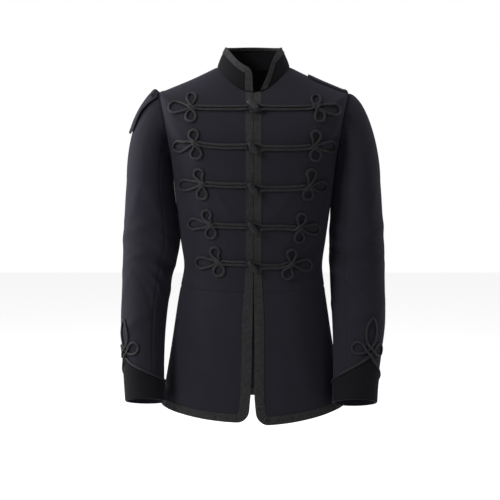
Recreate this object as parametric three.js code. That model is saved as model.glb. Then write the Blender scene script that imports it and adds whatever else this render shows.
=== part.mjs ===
// A hussar-pattern patrol jacket: navy wool cloth, black cord frogging, velvet collar and cuffs.
// Millimetres, +Z up. The front faces -Y and the wearer's left is +X. The origin lies midway between
// the neck points of the two shoulder seams, where the jacket is held up by its wearer.
import * as THREE from 'three';
import { mergeVertices } from 'three/addons/utils/BufferGeometryUtils.js';

// A table of rows with named columns
function table(columns, rows) {
  const names = columns.split(' ');
  return rows.map((row) => Object.fromEntries(names.map((name, k) => [name, row[k]])));
}

// Thickness of each material and the gap left at every seam
const CLOTH = 2.0;
const VELVET = 1.8;
const BRAID = 1.4;
const SEAM = 0.3;
const HALF_SEAM = SEAM / 2;

// Body of the jacket, one row for each ring from the hem up. run is the distance up the side, half is
// the half width, chest and spine are the depths in front and behind, side, front and back are the
// heights of the ring at those places, square is how square its outline is, sweep how late its height
// changes on the way round, and sway how much wider it hangs on the wearer's right.
const BODY = table('run half chest spine side front back square sweep sway', [
  [0, 203, 127, 131, -739, -758, -749, 2.15, 2.2, 1],
  [75, 188, 121, 126, -664, -680, -672, 2.15, 2.2, 3],
  [141, 176, 117, 121, -598, -610, -603, 2.2, 2.2, 4],
  [229, 162.5, 112, 113, -510, -515, -512, 2.3, 2.2, 4],
  [261, 157.5, 110, 109, -478, -483, -480, 2.3, 2.2, 3],
  [306, 152, 109, 105, -433, -436, -434, 2.3, 2.2, 1],
  [361, 159, 113, 107, -378, -379, -379, 2.3, 2.2, 1],
  [439, 169, 122, 117, -300, -299, -300, 2.4, 2.2, 0],
  [499, 176, 127, 123, -240, -238, -240, 2.45, 2.2, 0],
  [554, 184, 128, 126, -185, -183, -186, 2.5, 2.2, 0],
  [616, 201, 124, 124, -119, -147, -128, 2.75, 1.9, 0],
  [679, 205, 114, 112, -56, -114, -78, 2.35, 1.45, 0],
  [700, 190, 109, 104, -49, -104, -62, 2.25, 1.4, 0],
  [750, 134, 94, 83, -26, -80, -30, 2.1, 1.6, 0],
  [815, 79, 76, 60, 0, -58, -2, 2.0, 2.2, 0],
]);
const SWAY_LEFT = -0.4;
const WAIST_RUN = 261;
const ARMPIT_RUN = 554;
const SHOULDER_RUN = 679;
const NECK_RUN = 815;
const SIDE_TURN = 4;
const ARMHOLE_TURN = 25;
const BODY_DEGREE = 2.6;

// Distance of each bound front edge from the centre plane, up the front
const OPENING = table('run right left', [
  [0, 10.5, 7.5],
  [25, 9, 4.5],
  [60, 6, 1.6],
  [141, 3.2, 1.8],
  [261, 0.9, 0.5],
  [340, HALF_SEAM, HALF_SEAM],
  [815, HALF_SEAM, HALF_SEAM],
]);
const CORNER_RADIUS = 24;
const FRONT_BRAID_TOP = 15.5;
const FRONT_BRAID_HEM = 20;
const HEM_BRAID = 16;
const LEFT_FRONT_DROP = 6;
// Where a cord comes down off the front braid, beyond the braid's edge
const BRAID_STEP = [7, 18];

// Turns and distances over which the folds fade out beside the side seam, the front edge, the sleeve's
// hem and the underarm
const FADE_SIDE = [4, 16];
const FADE_FRONT = [2, 12];
const FADE_CUFF = [90, 150];
const FADE_UNDERARM = [0, 30];

// Soft folds of the body: where each lies, how it slants, and its size
const BODY_FOLDS = table('side turn run slant length width height', [
  [-1, -52, 318, 24, 70, 13, 3.2],
  [-1, -40, 280, 14, 60, 11, 2.6],
  [-1, -46, 352, 34, 58, 12, -2.2],
  [1, -50, 308, 20, 66, 12, 3.0],
  [1, -38, 272, 10, 58, 11, 2.4],
  [1, -44, 340, 30, 62, 12, -2.4],
  [-1, -60, 120, 84, 110, 26, 3.0],
  [1, -56, 110, 96, 120, 28, 3.4],
  [-1, 40, 110, 94, 120, 30, 4.5],
  [1, 44, 105, 86, 120, 30, 4.0],
  [-1, 50, 300, 18, 70, 14, 3.0],
  [1, 54, 312, 22, 66, 14, 2.8],
  [-1, -48, 560, 66, 70, 17, 3.0],
  [1, -46, 556, 62, 74, 16, 3.4],
]);

// Sleeves below the underarm, one row for each ring of each sleeve. drop is the depth of the ring's
// centre below the origin, x and y its place, across and deep its half sizes, and pitch its tilt as the
// arm bends.
const SLEEVES = {
  '-1': table('drop x y across deep pitch', [
    [246, 227.4, 2, 51.1, 77, 0],
    [290, 226.6, 3, 55.4, 76, 0],
    [378, 224.4, 4, 62.6, 71, 3],
    [466, 235, -4, 54.5, 65, 9],
    [554, 241, -27, 49.5, 59, 15],
    [620, 240, -47, 45.5, 54, 17],
    [686, 236.5, -68.5, 43, 50, 18],
    [722, 233, -80.5, 43, 49, 18],
  ]),
  1: table('drop x y across deep pitch', [
    [246, 227.4, 2, 51.1, 77, 0],
    [290, 226.6, 3, 55.4, 76, 0],
    [378, 227.5, 4, 60, 70, 3],
    [466, 229, -6, 60, 63, 10],
    [554, 230.5, -33, 58, 56, 17],
    [620, 226, -58, 52.5, 51, 20],
    [686, 220, -82, 48, 47, 20.5],
    [722, 217.5, -95.5, 47, 46, 20.5],
  ]),
};
const CAP_DROP = 246;
const CUFF_DROP = 722;
const CAP_RUN = 150;
// Head of each sleeve: how far it stands out at the underarm and over the top, how soon it falls at
// each, and how steeply it leaves the armhole at each
const CAP_HEAD = {
  '-1': { outLow: 3, out: 42, fallLow: 26, fall: 100, liftLow: 0.35, lift: -0.2 },
  1: { outLow: 3, out: 40, fallLow: 26, fall: 72, liftLow: 0.35, lift: 0.02 },
};
const FRONT_SLEEVE_SEAM = 60;
const BACK_SLEEVE_SEAM = 300;
const SLEEVE_STEP = 20;

// Creases of the sleeves: turn 0 faces the body, 90 the front and 180 the outer side
const SLEEVE_FOLDS = table('side turn drop slant length width height', [
  [-1, 55, 395, -34, 48, 11, 5.0],
  [-1, 70, 428, -22, 56, 10, -3.4],
  [-1, 48, 455, -40, 46, 11, 4.6],
  [-1, 118, 350, 24, 66, 14, 2.8],
  [-1, 250, 400, 16, 60, 14, 3.4],
  [-1, 80, 268, -58, 70, 14, 3.4],
  [-1, 104, 560, 30, 60, 13, 2.4],
  [1, 52, 388, 32, 52, 11, 4.6],
  [1, 66, 420, 20, 54, 10, -3.2],
  [1, 46, 452, 36, 50, 12, 4.8],
  [1, 124, 362, -20, 64, 14, 3.0],
  [1, 246, 410, -18, 64, 14, 3.6],
  [1, 84, 274, 62, 66, 14, 3.2],
  [1, 96, 548, -26, 64, 13, 2.4],
]);

// Velvet cuff: its height at the inner side, at the point, and where the point lies on each sleeve
const CUFF_LOW = 37;
const CUFF_HIGH = 80;
const CUFF_REACH = 165;
const CUFF_HOLLOW = 2.4;
const CUFF_DEGREE = 0.83;
const CUFF_POINT = { '-1': 142, 1: 116 };
// The cord's way through the three loops over the cuff: across from the point, up from the velvet, and
// the share of a cord's thickness that it climbs where it crosses itself
const CUFF_KNOT = [
  [-7, 1, 0], [-2.5, 5.5, 0], [2.8, 11, 0], [8, 17, 0], [16, 31, 0], [27, 35, 0], [36, 26, 0],
  [31, 13.5, 0], [18, 11, 0], [6.5, 16.5, 1], [-0.5, 23, 1], [-7.5, 34, 0], [-11, 54, 0],
  [-6.5, 76, 0], [0, 86, 0], [6.5, 76, 0], [11, 54, 0], [7.5, 34, 0], [0.5, 23, 0],
  [-6.5, 16.5, 0], [-18, 11, 0], [-31, 13.5, 0], [-36, 26, 0], [-27, 35, 0], [-16, 31, 0],
  [-8, 17, 0.6], [-2.8, 11, 1], [2.5, 5.5, 1], [7, 1, 0.5],
];
const CUFF_EDGE_TURNS = [-172, -150, -125, -100, -76, -54, -36, -22];

// Stand collar. turn runs round the neck from the front, and the lean draws the top edge inwards.
const COLLAR_TOP = { half: 60.5, chest: 67, spine: 51, side: 42, front: -6, back: 46, sweep: 2.2 };
const COLLAR_BULGE = 1.5;
const COLLAR_RISE = 0.8;
const COLLAR_HEIGHT = 48;
const COLLAR_DEGREE = 1.2;
const COLLAR_COLUMNS = 24;
const COLLAR_FRONT = { '-1': { low: 1.9, high: 5 }, 1: { low: 14, high: 44 } };
const COLLAR_CORNER = 13;
const COLLAR_BRAID = 13.5;

// Frogging, one row for each side of each frog, in millimetres from the centre line and the origin:
// the knot, the loops above and below it, and the tip of the outer loop
const FROGS = table('side row line knotX knotZ topX topZ lowX lowZ tipX tipZ', [
  [-1, 1, -93, 133, -91.5, 132, -69.5, 132, -110, 182, -90],
  [-1, 2, -172.5, 122, -166, 125.5, -147.5, 119, -188, 172.5, -172],
  [-1, 3, -253.5, 106, -251, 114.5, -229, 108, -273, 160, -254],
  [-1, 4, -339.5, 89, -338, 98.5, -316, 89, -356, 141, -337],
  [-1, 5, -419.5, 72.5, -419, 81, -395, 72, -436.5, 123.5, -420.5],
  [1, 1, -93, 132, -91.5, 132, -73.5, 139, -110.5, 185.5, -95],
  [1, 2, -176, 125, -173, 130, -149.5, 127.5, -192, 177, -172],
  [1, 3, -260.5, 115.5, -257.5, 120, -230.5, 113.5, -274, 159, -257.5],
  [1, 4, -342.5, 95.5, -345, 100.5, -323.5, 96, -365.5, 143, -348.5],
  [1, 5, -426.5, 80, -422, 80.5, -400.5, 71.5, -443, 125, -425.5],
]);
const CORD_WIDTH = 5.4;
const CORD_HEIGHT = 3.0;
const CORD_PITCH = 6.1;
const CORD_CLEAR = 1.9;
const CORD_BESIDE = 1.2;
// Steps along a cord: the fine ones it is measured in, the degrees it may turn and the longest it may run
const FINE_STEP = 0.8;
const TURN_STEP = 29;
const LONG_STEP = 13;
const CUFF_STEP = 9;
const LOOP_TOP = 9.6;
const LOOP_LOW = 10.6;
const LOOP_OUTER = 11.5;
// Where each frog's two lines start from the centre line, and how they close up before the knot
const LINE_START = { '-1': 13, 1: 28 };
const KNOT_NECK = 17;
const NECK_SHARE = 0.6;
const OUTER_NECK = 9;
// The crossings at a knot's heart: across and up from it, and the share of a cord's thickness climbed
const INTO_LOW = [[-7.5, 3.1, 0], [-3.4, -0.2, 0], [0.2, -3.6, 0]];
const FROM_LOW = [[-0.2, -3.6, 1], [3.4, 0, 1], [7.5, 3.6, 0.4]];
const INTO_TOP = [[7.5, -3.6, 0], [3.4, 0, 0], [-0.2, 3.6, 0]];
const FROM_TOP = [[0.2, 3.6, 1], [-3.4, 0.2, 1], [-7.5, -3.1, 0.8]];
const LOOP_RISE = 0.3;
// The eye that each toggle hooks through: distance from the centre line and share of its spread
const EYE = [[10, 0.86], [1, 1], [-6, 0.6], [-7.5, 0]];
const EYE_SPREAD = 8.4;
const EYE_NECK = { x: 19, wider: 0.6 };

// Toggles: a barrel worked over in cord, slung slantwise across the front edges
const TOGGLE_LENGTH = 31;
const TOGGLE_RADIUS = 5.2;
const TOGGLE_SLANT = 130;
const TOGGLE_STOUT = 1.15;
const TOGGLE_SIDES = 7;
// Outline of the barrel in shares of its radius and half length
const TOGGLE_OUTLINE = [
  [0, -1], [0.55, -1], [0.8, -0.8], [0.78, -0.55], [1, -0.2],
  [1, 0.2], [0.78, 0.55], [0.8, 0.8], [0.55, 1], [0, 1],
];

// Shoulder straps of doubled cloth
const STRAP_WIDTH = 44;
const STRAP_THICK = 3.2;
const STRAP_START = 118;
const STRAP_END = 203;
const STRAP_LIFT = 1;
const STRAP_CLEAR = 1.1;
const STRAP_CURL = 5;
// Rows along the lying strap and the width of its rounded end
const STRAP_ROWS = table('share wide', [
  [0, 0.62], [0.06, 0.88], [0.2, 1], [0.4, 1], [0.6, 1], [0.8, 1], [1, 1],
]);
// The strap that has fallen out over the sleeve, from its root at the seam to its free end: the line of
// its rear edge, how far forward its middle lies, how it is twisted to the front, and its taper
const FALLEN_STRAP = table('out up fore twist taper', [
  [207, -55.4, 0, 0, 1],
  [209, -44, -2, 8, 1],
  [216, -42, -6, 20, 1],
  [226, -54, -10, 23, 1],
  [238, -72, -12, 17, 1],
  [250.2, -91.5, -13, 12, 0.98],
  [260.6, -112.5, -13, 13, 0.95],
  [267.5, -132, -14, 15, 0.8],
  [270.5, -143, -14, 15, 0.35],
]);

const CLOTH_LOOK = { color: 0x20202a, roughness: 0.92, metalness: 0 };
const VELVET_LOOK = { color: 0x101012, roughness: 0.96, metalness: 0 };
const BRAID_LOOK = { color: 0x29292b, roughness: 0.72, metalness: 0 };
const CORD_LOOK = { color: 0x2b2b2e, roughness: 0.7, metalness: 0 };

const vec = (x, y, z) => new THREE.Vector3(x, y, z);
const rad = THREE.MathUtils.degToRad;
const mix = THREE.MathUtils.lerp;
const smooth = THREE.MathUtils.smoothstep;
const UP = vec(0, 0, 1);

// The row of a table at any value of its key column, by smooth interpolation between its rows
function readTable(rows, key, value) {
  let i = 0;
  while (i < rows.length - 2 && value > rows[i + 1][key]) {
    i += 1;
  }
  const before = rows[Math.max(i - 1, 0)];
  const low = rows[i];
  const high = rows[i + 1];
  const after = rows[Math.min(i + 2, rows.length - 1)];
  const span = high[key] - low[key];
  const t = (value - low[key]) / span;
  const found = {};
  for (const name of Object.keys(low)) {
    const slopeLow = ((high[name] - before[name]) / (high[key] - before[key])) * span;
    const slopeHigh = ((after[name] - low[name]) / (after[key] - low[key])) * span;
    const rise = high[name] - low[name];
    found[name] = low[name] + slopeLow * t + (3 * rise - 2 * slopeLow - slopeHigh) * t * t
      + (slopeLow + slopeHigh - 2 * rise) * t * t * t;
  }
  return found;
}

// Sum of the soft folds of one side at a place given by its turn and its distance up or down
function foldHeight(folds, side, turn, place, placeName, mmPerDegree) {
  let height = 0;
  for (const fold of folds) {
    if (fold.side === side) {
      const apart = ((turn - fold.turn + 540) % 360) - 180;
      const across = apart * mmPerDegree;
      const up = place - fold[placeName];
      const slant = rad(fold.slant);
      const along = across * Math.cos(slant) + up * Math.sin(slant);
      const aside = up * Math.cos(slant) - across * Math.sin(slant);
      height += fold.height * Math.exp(-((along / fold.length) ** 2) - (aside / fold.width) ** 2);
    }
  }
  return height;
}

// Point of the body on the wearer's left; turn is 0 at the side, -90 in front and 90 behind
function bodyPoint(side, turn, run) {
  const row = readTable(BODY, 'run', run);
  const c = Math.cos(rad(turn));
  const s = Math.sin(rad(turn));
  const power = 2 / row.square;
  const isFront = s < 0;
  const sweep = Math.abs(s) ** row.sweep;
  const half = row.half + row.sway * (side < 0 ? 1 : SWAY_LEFT);
  const point = vec(
    half * Math.sign(c) * Math.abs(c) ** power,
    (isFront ? row.chest : row.spine) * Math.sign(s) * Math.abs(s) ** power,
    mix(row.side, isFront ? row.front : row.back, sweep),
  );
  const besideSeam = smooth(Math.abs(turn - SIDE_TURN), ...FADE_SIDE);
  const besideFront = smooth(Math.abs(90 - Math.abs(turn)), ...FADE_FRONT);
  const push = foldHeight(BODY_FOLDS, side, turn, run, 'run', BODY_DEGREE) * besideSeam * besideFront;
  point.x += push * c;
  point.y += push * s;
  if (side > 0 && isFront) {
    point.z -= LEFT_FRONT_DROP * sweep ** 2 * (1 - smooth(run, 0, WAIST_RUN));
  }
  return point;
}

// A place on any surface with its outward normal, by small steps either way
function placeOn(surface, u, v, du, dv, flip) {
  const along = surface(u + du, v).sub(surface(u - du, v));
  const up = surface(u, v + dv).sub(surface(u, v - dv));
  const n = along.cross(up).normalize();
  return { p: surface(u, v), n: flip ? n.negate() : n };
}

function bodyPlace(side, turn, run) {
  return placeOn((u, v) => bodyPoint(side, u, v), turn, run, 0.3, 1, false);
}

function turnAtX(x, run) {
  const row = readTable(BODY, 'run', run);
  return -THREE.MathUtils.radToDeg(Math.acos(Math.min(x / row.half, 1) ** (row.square / 2)));
}

// Turns that divide a stretch of one ring into equal lengths
function spreadTurns(side, from, to, run, count) {
  const fine = 48;
  const turns = [];
  const lengths = [0];
  for (let i = 0; i <= fine; i += 1) {
    turns.push(mix(from, to, i / fine));
    if (i > 0) {
      const step = bodyPoint(side, turns[i], run).distanceTo(bodyPoint(side, turns[i - 1], run));
      lengths.push(lengths[i - 1] + step);
    }
  }
  const found = [];
  for (let k = 0; k <= count; k += 1) {
    const want = (lengths[fine] * k) / count;
    let i = 1;
    while (i < fine && lengths[i] < want) {
      i += 1;
    }
    const t = (want - lengths[i - 1]) / (lengths[i] - lengths[i - 1]);
    found.push(mix(turns[i - 1], turns[i], t));
  }
  return found;
}

// Degrees of turn that half a seam takes up at a place on the body
function seamTurn(side, turn, run) {
  const step = bodyPoint(side, turn + 0.5, run).distanceTo(bodyPoint(side, turn - 0.5, run));
  return HALF_SEAM / step;
}

// Armhole: round is 0 at the underarm, 90 at the front of the arm and 180 at the shoulder point
function armholeRun(round) {
  return (ARMPIT_RUN + SHOULDER_RUN) / 2 - ((SHOULDER_RUN - ARMPIT_RUN) / 2) * Math.cos(rad(round));
}

function armholeTurn(round) {
  return SIDE_TURN - ARMHOLE_TURN * Math.sin(rad(round));
}

function roundAtRun(run) {
  const middle = (ARMPIT_RUN + SHOULDER_RUN) / 2;
  const reach = (SHOULDER_RUN - ARMPIT_RUN) / 2;
  return THREE.MathUtils.radToDeg(Math.acos(THREE.MathUtils.clamp((middle - run) / reach, -1, 1)));
}

// Point of the sleeve; below is the distance under the underarm ring, negative up in the cap
function sleevePoint(side, round, below) {
  const c = Math.cos(rad(round));
  const s = Math.sin(rad(round));
  if (below < 0) {
    const t = 1 + below / CAP_RUN;
    const head = CAP_HEAD[side];
    const overTop = (1 - c) / 2;
    const start = vec(1, 0, mix(head.liftLow, head.lift, overTop)).normalize();
    const top = bodyPoint(side, armholeTurn(round), armholeRun(round)).addScaledVector(start, SEAM);
    const end = sleevePoint(side, round, 0);
    const first = top.clone().addScaledVector(start, mix(head.outLow, head.out, overTop ** 1.2));
    const second = end.clone().addScaledVector(UP, mix(head.fallLow, head.fall, overTop ** 1.1));
    const curve = new THREE.CubicBezierCurve3(top, first, second, end);
    return curve.getPoint(t);
  }
  const row = readTable(SLEEVES[side], 'drop', CAP_DROP + below);
  const push = foldHeight(SLEEVE_FOLDS, side, round, CAP_DROP + below, 'drop', 1)
    * smooth(Math.abs(CUFF_DROP - CAP_DROP - below), ...FADE_CUFF) * smooth(below, ...FADE_UNDERARM);
  const pitch = rad(row.pitch);
  const fore = -(row.deep + push) * s;
  return vec(
    row.x - (row.across + push) * c,
    row.y + fore * Math.cos(pitch),
    -row.drop - fore * Math.sin(pitch),
  );
}

function sleevePlace(side, round, below) {
  return placeOn((u, v) => sleevePoint(side, u, v), round, below, 0.5, 1, true);
}

// Normal shared by the body and the sleeve where they are sewn together
function armholeNormal(side, round) {
  const sleeve = placeOn((u, v) => sleevePoint(side, u, v), round, 2 - CAP_RUN, 0.5, 1, true).n;
  const body = bodyPlace(side, armholeTurn(round), armholeRun(round)).n;
  return sleeve.add(body).normalize();
}

// Point of the stand collar; t runs from the neck seam to the top edge
function collarPoint(turn, t) {
  const base = bodyPoint(0, turn, NECK_RUN);
  base.z += SEAM + COLLAR_RISE;
  const c = Math.cos(rad(turn));
  const s = Math.sin(rad(turn));
  const isFront = s < 0;
  const weight = Math.abs(s) ** COLLAR_TOP.sweep;
  const top = vec(
    COLLAR_TOP.half * c,
    (isFront ? COLLAR_TOP.chest : COLLAR_TOP.spine) * s,
    mix(COLLAR_TOP.side, isFront ? COLLAR_TOP.front : COLLAR_TOP.back, weight),
  );
  const bulge = COLLAR_BULGE * 4 * t * (1 - t);
  return base.lerp(top, t).add(vec(bulge * c, bulge * s, 0));
}

function collarPlace(turn, t) {
  return placeOn(collarPoint, turn, t, 0.5, 0.02, false);
}

// A closed body from its corners and triangles, turned so that its faces look outwards
function solid(points, triangles) {
  let volume = 0;
  for (const [a, b, c] of triangles) {
    volume += points[a].dot(points[b].clone().cross(points[c]));
  }
  const faces = volume < 0 ? triangles.map(([a, b, c]) => [a, c, b]) : triangles;
  const geometry = new THREE.BufferGeometry();
  const numbers = points.flatMap((p) => [p.x, p.y, p.z]);
  geometry.setAttribute('position', new THREE.Float32BufferAttribute(numbers, 3));
  geometry.setIndex(faces.flat());
  return geometry;
}

// A wall of even thickness through a grid of places. cell(i, j) says which squares it covers, lift
// moves it out from the places, and closed joins the last row to the first.
function wallOver(grid, { lift = 0, thick = CLOTH, cell = () => true, closed = false } = {}) {
  const rows = grid.length;
  const columns = grid[0].length;
  const spans = closed ? rows : rows - 1;
  const points = [];
  const numbers = new Map();
  const corner = (i, j, inner) => {
    const key = `${i % rows}/${j}/${inner}`;
    if (!numbers.has(key)) {
      const { p, n } = grid[i % rows][j];
      numbers.set(key, points.length);
      points.push(p.clone().addScaledVector(n, inner ? lift : lift + thick));
    }
    return numbers.get(key);
  };
  const covered = (i, j) => {
    const row = closed ? (i + rows) % rows : i;
    return row >= 0 && row < spans && j >= 0 && j < columns - 1 && cell(row, j);
  };
  const triangles = [];
  const quad = (a, b, c, d) => triangles.push([a, b, c], [a, c, d]);
  for (let i = 0; i < spans; i += 1) {
    for (let j = 0; j < columns - 1; j += 1) {
      if (covered(i, j)) {
        const around = [[i, j], [i + 1, j], [i + 1, j + 1], [i, j + 1]];
        const beyond = [[i, j - 1], [i + 1, j], [i, j + 1], [i - 1, j]];
        const outer = around.map(([r, q]) => corner(r, q, false));
        const inner = around.map(([r, q]) => corner(r, q, true));
        quad(outer[0], outer[1], outer[2], outer[3]);
        quad(inner[0], inner[3], inner[2], inner[1]);
        beyond.forEach(([r, q], k) => {
          if (!covered(r, q)) {
            const next = (k + 1) % 4;
            quad(outer[next], outer[k], inner[k], inner[next]);
          }
        });
      }
    }
  }
  return solid(points, triangles);
}

// A band folded over an edge: each step holds the place on the edge and the place at the band's width
function bindingOver(steps, thick) {
  const count = steps.length;
  const points = [];
  const outerGap = SEAM;
  const innerGap = CLOTH + SEAM;
  for (const { edge, inset } of steps) {
    const away = edge.p.clone().sub(inset.p).normalize();
    const at = ({ p, n }, height, out) => p.clone().addScaledVector(n, height).addScaledVector(away, out);
    points.push(
      at(inset, outerGap, 0),
      at(inset, outerGap + thick, 0),
      at(edge, outerGap + thick, SEAM + thick),
      at(edge, -innerGap - thick, SEAM + thick),
      at(inset, -innerGap - thick, 0),
      at(inset, -innerGap, 0),
      at(edge, -innerGap, SEAM),
      at(edge, outerGap, SEAM),
    );
  }
  const sides = 8;
  const triangles = [];
  for (let i = 0; i < count - 1; i += 1) {
    for (let k = 0; k < sides; k += 1) {
      const a = i * sides + k;
      const b = i * sides + ((k + 1) % sides);
      triangles.push([a, b, b + sides], [a, b + sides, a + sides]);
    }
  }
  const last = (count - 1) * sides;
  for (const [a, b, c, d] of [[0, 1, 2, 7], [7, 2, 3, 6], [6, 3, 4, 5]]) {
    triangles.push([d, c, b], [d, b, a]);
    triangles.push([last + a, last + b, last + c], [last + a, last + c, last + d]);
  }
  return solid(points, triangles);
}

// A round-backed cord laid on a surface along a path of places
function cordOver(path, width, height, closed) {
  const count = path.length;
  const section = [[-0.5, 0], [0.5, 0], [0.3, 1], [-0.3, 1]];
  const sides = section.length;
  const points = [];
  path.forEach((place, i) => {
    const back = closed ? (i + count - 1) % count : Math.max(i - 1, 0);
    const next = closed ? (i + 1) % count : Math.min(i + 1, count - 1);
    const along = path[next].p.clone().sub(path[back].p).normalize();
    const aside = along.cross(place.n).normalize();
    for (const [across, up] of section) {
      const at = place.p.clone().addScaledVector(aside, across * width);
      points.push(at.addScaledVector(place.n, up * height));
    }
  });
  const triangles = [];
  for (let i = 0; i < (closed ? count : count - 1); i += 1) {
    for (let k = 0; k < sides; k += 1) {
      const a = i * sides + k;
      const b = i * sides + ((k + 1) % sides);
      const c = ((i + 1) % count) * sides + ((k + 1) % sides);
      const d = ((i + 1) % count) * sides + k;
      triangles.push([a, b, c], [a, c, d]);
    }
  }
  if (!closed) {
    const last = (count - 1) * sides;
    for (let k = 1; k < sides - 1; k += 1) {
      triangles.push([0, k + 1, k], [last, last + k, last + k + 1]);
    }
  }
  return solid(points, triangles);
}

// A smooth path through control points, each (a, b, height), with a step wherever it has turned enough
function flatPath(controls, closed, longest = LONG_STEP) {
  const knots = controls.map(([a, b, c]) => vec(a, b, c ?? 0));
  const curve = new THREE.CatmullRomCurve3(knots, closed, 'centripetal');
  const fine = curve.getSpacedPoints(Math.round(curve.getLength() / FINE_STEP));
  const path = [fine[0]];
  let turned = 0;
  for (let i = 1; i < fine.length - 1; i += 1) {
    const before = fine[i].clone().sub(fine[i - 1]);
    turned += before.angleTo(fine[i + 1].clone().sub(fine[i]));
    if (turned > rad(TURN_STEP) || fine[i].distanceTo(path[path.length - 1]) > longest) {
      path.push(fine[i]);
      turned = 0;
    }
  }
  const gap = path[path.length - 1].distanceTo(fine[fine.length - 1]);
  if (gap < 2) {
    path.pop();
  }
  return closed ? path : [...path, fine[fine.length - 1]];
}

// The place on the front of the body at a distance from the centre line and a height
function frontPlace(side, x, z) {
  const away = Math.max(Math.abs(x), 0.05);
  let run = NECK_RUN + (z - BODY[BODY.length - 1].front);
  for (let k = 0; k < 30; k += 1) {
    const low = bodyPoint(side, turnAtX(away, run), run).z;
    const high = bodyPoint(side, turnAtX(away, run + 1), run + 1).z;
    run += THREE.MathUtils.clamp((z - low) / (high - low), -40, 40);
  }
  const place = bodyPlace(side, turnAtX(away, run), run);
  if (x < 0) {
    place.p.x *= -1;
    place.n.x *= -1;
  }
  return place;
}

// Sets a place down on the panels under it, then moves it out by its lift
function settle(place, panels, lift) {
  const above = place.p.clone().addScaledVector(place.n, 25);
  const ray = new THREE.Raycaster(above, place.n.clone().negate());
  const hits = panels.flatMap((panel) => ray.intersectObject(panel));
  hits.sort((a, b) => a.distance - b.distance);
  const at = hits.length && hits[0].distance < 35 ? hits[0].point : place.p;
  return { p: at.clone().addScaledVector(place.n, lift), n: place.n };
}

// Height of what lies on the front: over the bound edge near the centre line, on the cloth elsewhere
function liftAt(x) {
  const offBraid = smooth(Math.abs(x) - FRONT_BRAID_HEM, ...BRAID_STEP);
  return mix(2 * SEAM + BRAID, CORD_CLEAR, offBraid);
}

const group = new THREE.Group();
group.name = 'military_jacket';
const sideName = { '-1': 'right', 1: 'left' };

// Adds a part, mirrored over to the wearer's right when its side says so
function addPart(name, geometry, look, side = 1) {
  const welded = mergeVertices(geometry, 1e-4);
  const unturned = new THREE.Mesh(welded.clone());
  if (side < 0) {
    welded.scale(-1, 1, 1);
    const index = welded.getIndex();
    for (let i = 0; i < index.count; i += 3) {
      const a = index.getX(i);
      index.setX(i, index.getX(i + 1));
      index.setX(i + 1, a);
    }
  }
  welded.computeVertexNormals();
  const mesh = new THREE.Mesh(welded, new THREE.MeshStandardMaterial(look));
  mesh.name = name;
  group.add(mesh);
  return unturned;
}

const spaced = (from, to, count) => Array.from({ length: count + 1 }, (_, i) => mix(from, to, i / count));
const armholeRounds = spaced(0, 180, 180 / SLEEVE_STEP);

// Runs of the rows of the upper body: even up to the armpit, then at the armhole's own steps
const upperRuns = [
  WAIST_RUN + HALF_SEAM, 284, 308, 336, 370, 410, 455, 505,
  ...armholeRounds.map(armholeRun),
  698, 734, 774, NECK_RUN,
];

function clothEdge(side, run) {
  const row = readTable(OPENING, 'run', run);
  return (side < 0 ? row.right : row.left) + BRAID + SEAM;
}

function braidWidth(run) {
  return mix(FRONT_BRAID_HEM, FRONT_BRAID_TOP, smooth(run, WAIST_RUN - 60, WAIST_RUN + 60));
}

// The turn of the side edge of a panel: the side seam, the armhole or the shoulder seam
function sideEdge(side, run, isFront) {
  const away = isFront ? 1 : -1;
  const round = roundAtRun(run);
  const onArmhole = run > ARMPIT_RUN && run < SHOULDER_RUN;
  const turn = onArmhole ? armholeTurn(round * away) : SIDE_TURN;
  return turn - away * seamTurn(side, turn, run);
}

function panelPlace(side, turn, run, atSide, isFront) {
  const place = bodyPlace(side, turn, run);
  if (atSide && run >= ARMPIT_RUN - 0.01 && run <= SHOULDER_RUN + 0.01) {
    place.n = armholeNormal(side, roundAtRun(run) * (isFront ? 1 : -1));
  }
  return place;
}

const insideCloth = (grid) => wallOver(grid, { lift: -CLOTH, thick: CLOTH });

// Chest fronts, each from its bound front edge to the side seam, the armhole and the shoulder seam
function forepartGrid(side) {
  return upperRuns.map((run) => {
    const edge = turnAtX(clothEdge(side, run), run);
    const band = turnAtX(clothEdge(side, run) + braidWidth(run), run);
    const turns = [edge, ...spreadTurns(side, band, sideEdge(side, run, true), run, 9)];
    return turns.map((turn, j) => panelPlace(side, turn, run, j === turns.length - 1, true));
  });
}

// The whole upper back, cut on the fold: half of it is mirrored to make the other
function backGrid() {
  return upperRuns.map((run) => {
    const halfRow = (side) => spreadTurns(side, sideEdge(side, run, false), 90, run, 8)
      .map((turn, j) => panelPlace(side, turn, run, j === 0, false));
    const right = halfRow(-1).map(({ p, n }) => ({ p: vec(-p.x, p.y, p.z), n: vec(-n.x, n.y, n.z) }));
    return [...halfRow(1), ...right.reverse().slice(1)];
  });
}

// Steps round the corner of a skirt front, then the rows of the skirt up to the waist
const cornerSteps = spaced(0, 90, 4).map((angle) => {
  return { sin: Math.sin(rad(angle)), cos: Math.cos(rad(angle)) };
});
const HEM_ROW = 3;
const plainRuns = [52, 90, 132, 176, 220, WAIST_RUN - HALF_SEAM];
const skirtRuns = [...cornerSteps.map(({ cos }) => CORNER_RADIUS * (1 - cos)), ...plainRuns];

function skirtEdge(side, run) {
  const inside = Math.max(CORNER_RADIUS - run, 0);
  const corner = CORNER_RADIUS - Math.sqrt(CORNER_RADIUS ** 2 - inside ** 2);
  return clothEdge(side, run) + corner;
}

function skirtFrontGrid(side) {
  return skirtRuns.map((run) => {
    const edge = skirtEdge(side, run);
    const band = turnAtX(Math.max(clothEdge(side, run) + braidWidth(run), edge + 3), run);
    const end = SIDE_TURN - seamTurn(side, SIDE_TURN, run);
    const turns = [turnAtX(edge, run), ...spreadTurns(side, band, end, run, 9)];
    return turns.map((turn) => bodyPlace(side, turn, run));
  });
}

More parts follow.
